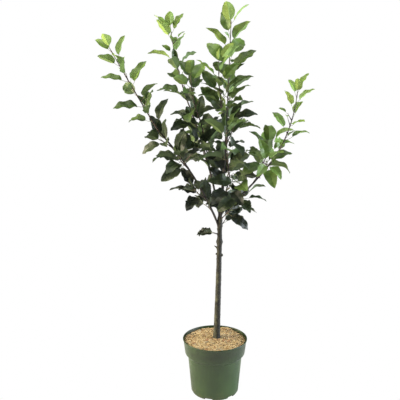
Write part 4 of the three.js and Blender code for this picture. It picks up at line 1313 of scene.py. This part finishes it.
def leafPoints(leaf, rows, draw, habit):
    look = leafLook
    s = np.arange(rows + 1) / rows
    middle, across, normal, half = bladeRows(leaf, s)
    half = half * (look["widest"] - look["point"] * s ** 3)
    scale = leaf["length"] / look["usual"]
    fold = math.radians(leaf["fold"])
    ribWidth = look["rib"] * scale * (1 - look["ribTaper"] * s)
    rib = np.minimum(look["ribMost"], ribWidth / np.maximum(half, look["ribLeast"]))
    taper = np.minimum(1, np.minimum(s * look["footEase"], (1 - s) * look["tipEase"]))
    waves, wave = draw.uniform(*habit["waves"]), draw.uniform(*habit["wave"]) * scale
    phases = draw.uniform(0, 1), draw.uniform(0, 1)
    halves = [half * (1 + habit["uneven"] * unevenness(s, draw)) for _ in phases]
    buckled = unevenness(s * look["buckleLength"], draw)
    middle = middle + normal * (habit["buckle"] * scale * taper * buckled)[:, None]

    def column(share, groove):
        out = np.abs(share)
        side = int(np.mean(share) < 0)
        height = halves[side] * math.sin(fold) * out ** look["curl"]
        height = height + wave * taper * out ** 2 * np.sin(2 * math.pi * (waves * s + phases[side]))
        vein = leafVeins["count"] * s - leafVeins["lean"] * out
        height = height + look["quilt"] * scale * taper * (np.cos(2 * math.pi * vein) * 4 * out * (1 - out))
        reach = halves[side] * math.cos(fold) * share
        return middle + across * reach[:, None] + normal * (height + groove)[:, None]

    ones = np.ones(rows + 1)
    shares = [ones, ones * look["halfway"], rib, ones * 0, -rib, -ones * look["halfway"], -ones]
    thin = look["thickness"] / 2 * max(look["thinnest"], scale)
    above = [column(share, 0 if i in (0, 6) else thin - look["groove"] * scale * (i == 3) * (1 - s))
             for i, share in enumerate(shares)]
    below = [column(share, -thin - look["ribDrop"] * scale * (i == 3) * (1 - s))
             for i, share in enumerate(shares)]
    grid = np.stack(above + below[1:6], axis=1)[1:-1]
    teeth = []
    ahead = np.gradient(middle, axis=0)
    ahead /= np.linalg.norm(ahead, axis=1)[:, None]
    for i in range(1, rows - 1):
        depth = habit["tooth"] * scale * taper[i] * draw.uniform(*look["toothSizes"])
        for edge, way in ((0, 1), (6, -1)):
            place = above[edge][i] * (1 - look["toothPlace"]) + above[edge][i + 1] * look["toothPlace"]
            teeth.append(place + across[i] * way * depth + ahead[i] * depth * look["toothLean"])
    ends = [middle[0] - normal[0] * thin, middle[-1]]
    return np.vstack([grid.reshape(-1, 3), teeth, ends])


faceSets = {rows: leafFaces(rows) for rows in (leafLook["rows"], leafLook["smallRows"])}
cornerSets = {rows: bladeCorners(rows, faces) for rows, (faces, _) in faceSets.items()}

# A leaf's tint goes by how high, how far out and how near a shoot's tip it stands: tip leaves are younger
# and paler, and painted light and shade make high, outer leaves paler and low leaves near the crown's
# middle darker. Leaves on two limbs are paler: by a step, and by another for how far out they stand.
ageAndShadeSteps = (("old", 0.2), ("dark", 0.4), ("grown", 0.62), ("fresh", 0.86), ("young", 9))
palerOn = dict(bough_right=(0, 0.52), leader=(0.14, 0))
ageAndShadeRule = dict(lowest=745, height=640, middle=(15, 14), reach=340, ease=1.5, onShort=0.25,
               high=0.46, outward=0.25, tipward=0.35, lowTips=0.35, chance=0.09)
shootSeed, shootSeedStep = 7, 101


def ageAndShadeOf(leaf, sizes, draw):
    rule = ageAndShadeRule
    x, y, z = leaf["foot"]
    high = min(1, max(0, (z - rule["lowest"]) / rule["height"]))
    outward = min(1, math.hypot(x - rule["middle"][0], y - rule["middle"][1]) / rule["reach"])
    tipward = leaf["f"] ** rule["ease"] * (1 if isLong(sizes) else rule["onShort"])
    # painted shade and light: a low leaf near the middle scores low and takes a dark tint, a high one far
    # out a pale one
    score = rule["high"] * high + rule["outward"] * outward
    score += rule["tipward"] * tipward * mix(rule["lowTips"], 1, high)
    score += draw.uniform(-rule["chance"], rule["chance"])
    near, further = palerOn.get(sizes["on"], (0, 0))
    score += near + further * outward
    return next(age for age, limit in ageAndShadeSteps if score < limit)


stemsMade, stalksMade, budsMade = Gathered(), Gathered(), Gathered()
bladesMade = {age: Gathered() for age, _ in ageAndShadeSteps}


def addLeaf(leaf, sizes, draw):
    age = ageAndShadeOf(leaf, sizes, draw)
    rows = leafLook["smallRows" if leaf["length"] < leafLook["smallBelow"] else "rows"]
    points = leafPoints(leaf, rows, draw, leafHabits[age])
    faces, materials = faceSets[rows]
    bladesMade[age].add(points, faces, materials, cornerSets[rows])
    addStalk(stalksMade, leaf)


def growShoot(name, index):
    draw = random.Random(index * shootSeedStep + shootSeed)
    sizes, stem = shoots[name], stems[name]
    addStem(stemsMade, stem, [leaf["f"] for leaf in leavesOf[name]], limbs[sizes["on"]])
    for leaf in leavesOf[name]:
        addLeaf(leaf, sizes, draw)
        out = unit(leaf["foot"] - leaf["root"])
        along = alongAt(stem, leaf["f"])
        outward = unit(out - along * (out @ along))
        place = leaf["root"] + outward * radiusAt(stem, leaf["f"]) * budLook["sunk"]
        addBud(budsMade, place + along * budLook["rise"], unit(along + out * budLook["lean"]),
               leaf["across"], leaf["size"])
    ahead = alongAt(stem, 1)
    addBud(budsMade, stem["points"][-1] - ahead, ahead, stem["side"], budLook["tipSize"])
    for leaf in tipLeavesOf[name]:
        addLeaf(leaf, sizes, draw)
    for spur, leaves in spursOf[name]:
        addStem(stemsMade, spur, [], stem)
        for leaf in leaves:
            leaf["f"] = spur["at"]
            addLeaf(leaf, sizes, draw)
        addBud(budsMade, spur["points"][-1], alongAt(spur, 1), spur["side"], budLook["spurSize"])


for index, shootName in enumerate(shoots):
    growShoot(shootName, index)
stemsMade.finish("shoot_stems", [appleBark("shoot"), greenWood("green_shoot")], "leaves", "bark")
stalksMade.finish("leaf_stalks", [greenWood("leaf_stalk")], "leaves")
budsMade.finish("buds", [grainFinish("bud_scale")], "leaves")
for age, made in bladesMade.items():
    if made.count:
        made.finish("leaf_blades_" + age, [leafTissue(age, side) for side in ("top", "under", "rib")],
                    "leaves", "blade", sharpFrom=70)
print("leaves made")


# floor, background and light

stage = dict(floorRadius=3.2, floorSides=96, floorColour="#c8c8c4", glowColour="#ffffff",
             floorGlow=0.04, white=1.0, dim=0.11, aimHeight=0.75)
lights = (
    dict(name="left_softbox", place=(-2.5, -0.3, 1.3), size=(1.1, 2.0), watts=182, colour="#fff0d6"),
    dict(name="right_softbox", place=(2.5, -0.1, 1.2), size=(1.1, 2.0), watts=164, colour="#e4ebf8"),
)
topLight = dict(strength=2.6, softness=50, lean=(8, -12))


# seen directly it is white; what it sends to the tree stays dim
def whiten(tree, dim, kind, output):
    white = addNode(tree, kind, {"Color": stage["glowColour"], "Strength": stage["white"]})
    seen = addNode(tree, "LightPath")
    both = addNode(tree, "MixShader", {0: seen.outputs["Is Camera Ray"], 1: dim, 2: white})
    setInput(tree.nodes[output], "Surface", both)


def makeStage():
    bm = bmesh.new()
    bmesh.ops.create_circle(bm, cap_ends=True, segments=stage["floorSides"], radius=stage["floorRadius"])
    floor = bpy.data.objects.new("floor", meshOf(bm, "floor"))
    made, tree, shader = startMaterial("white_floor", Roughness=0.9, Emission_Strength=stage["floorGlow"])
    setInput(shader, "Base Color", stage["floorColour"])
    setInput(shader, "Emission Color", stage["glowColour"])
    whiten(tree, shader, "Emission", "Material Output")
    floor.data.materials.append(made)
    bpy.context.scene.collection.objects.link(floor)
    for light in lights:
        data = bpy.data.lights.new(light["name"], "AREA")
        data.shape = "RECTANGLE"
        data.size, data.size_y = light["size"]
        data.energy = light["watts"]
        data.color = linear(light["colour"])[:3]
        lamp = bpy.data.objects.new(light["name"], data)
        lamp.location = light["place"]
        aim = Vector((0, 0, stage["aimHeight"])) - Vector(light["place"])
        lamp.rotation_euler = aim.to_track_quat("-Z", "Y").to_euler()
        bpy.context.scene.collection.objects.link(lamp)
    data = bpy.data.lights.new("top_light", "SUN")
    data.energy = topLight["strength"]
    data.angle = math.radians(topLight["softness"])
    lamp = bpy.data.objects.new("top_light", data)
    lamp.rotation_euler = [math.radians(a) for a in topLight["lean"]] + [0]
    bpy.context.scene.collection.objects.link(lamp)


def makeWorld():
    world = bpy.data.worlds.new("studio")
    bpy.context.scene.world = world
    world.use_nodes = True
    tree = world.node_tree
    dim = tree.nodes["Background"]
    setInput(dim, "Strength", stage["dim"])
    setInput(dim, "Color", stage["glowColour"])
    whiten(tree, dim, "Background", "World Output")
    bpy.context.scene.view_settings.view_transform = "Standard"


makeStage()
makeWorld()
print("stage set")
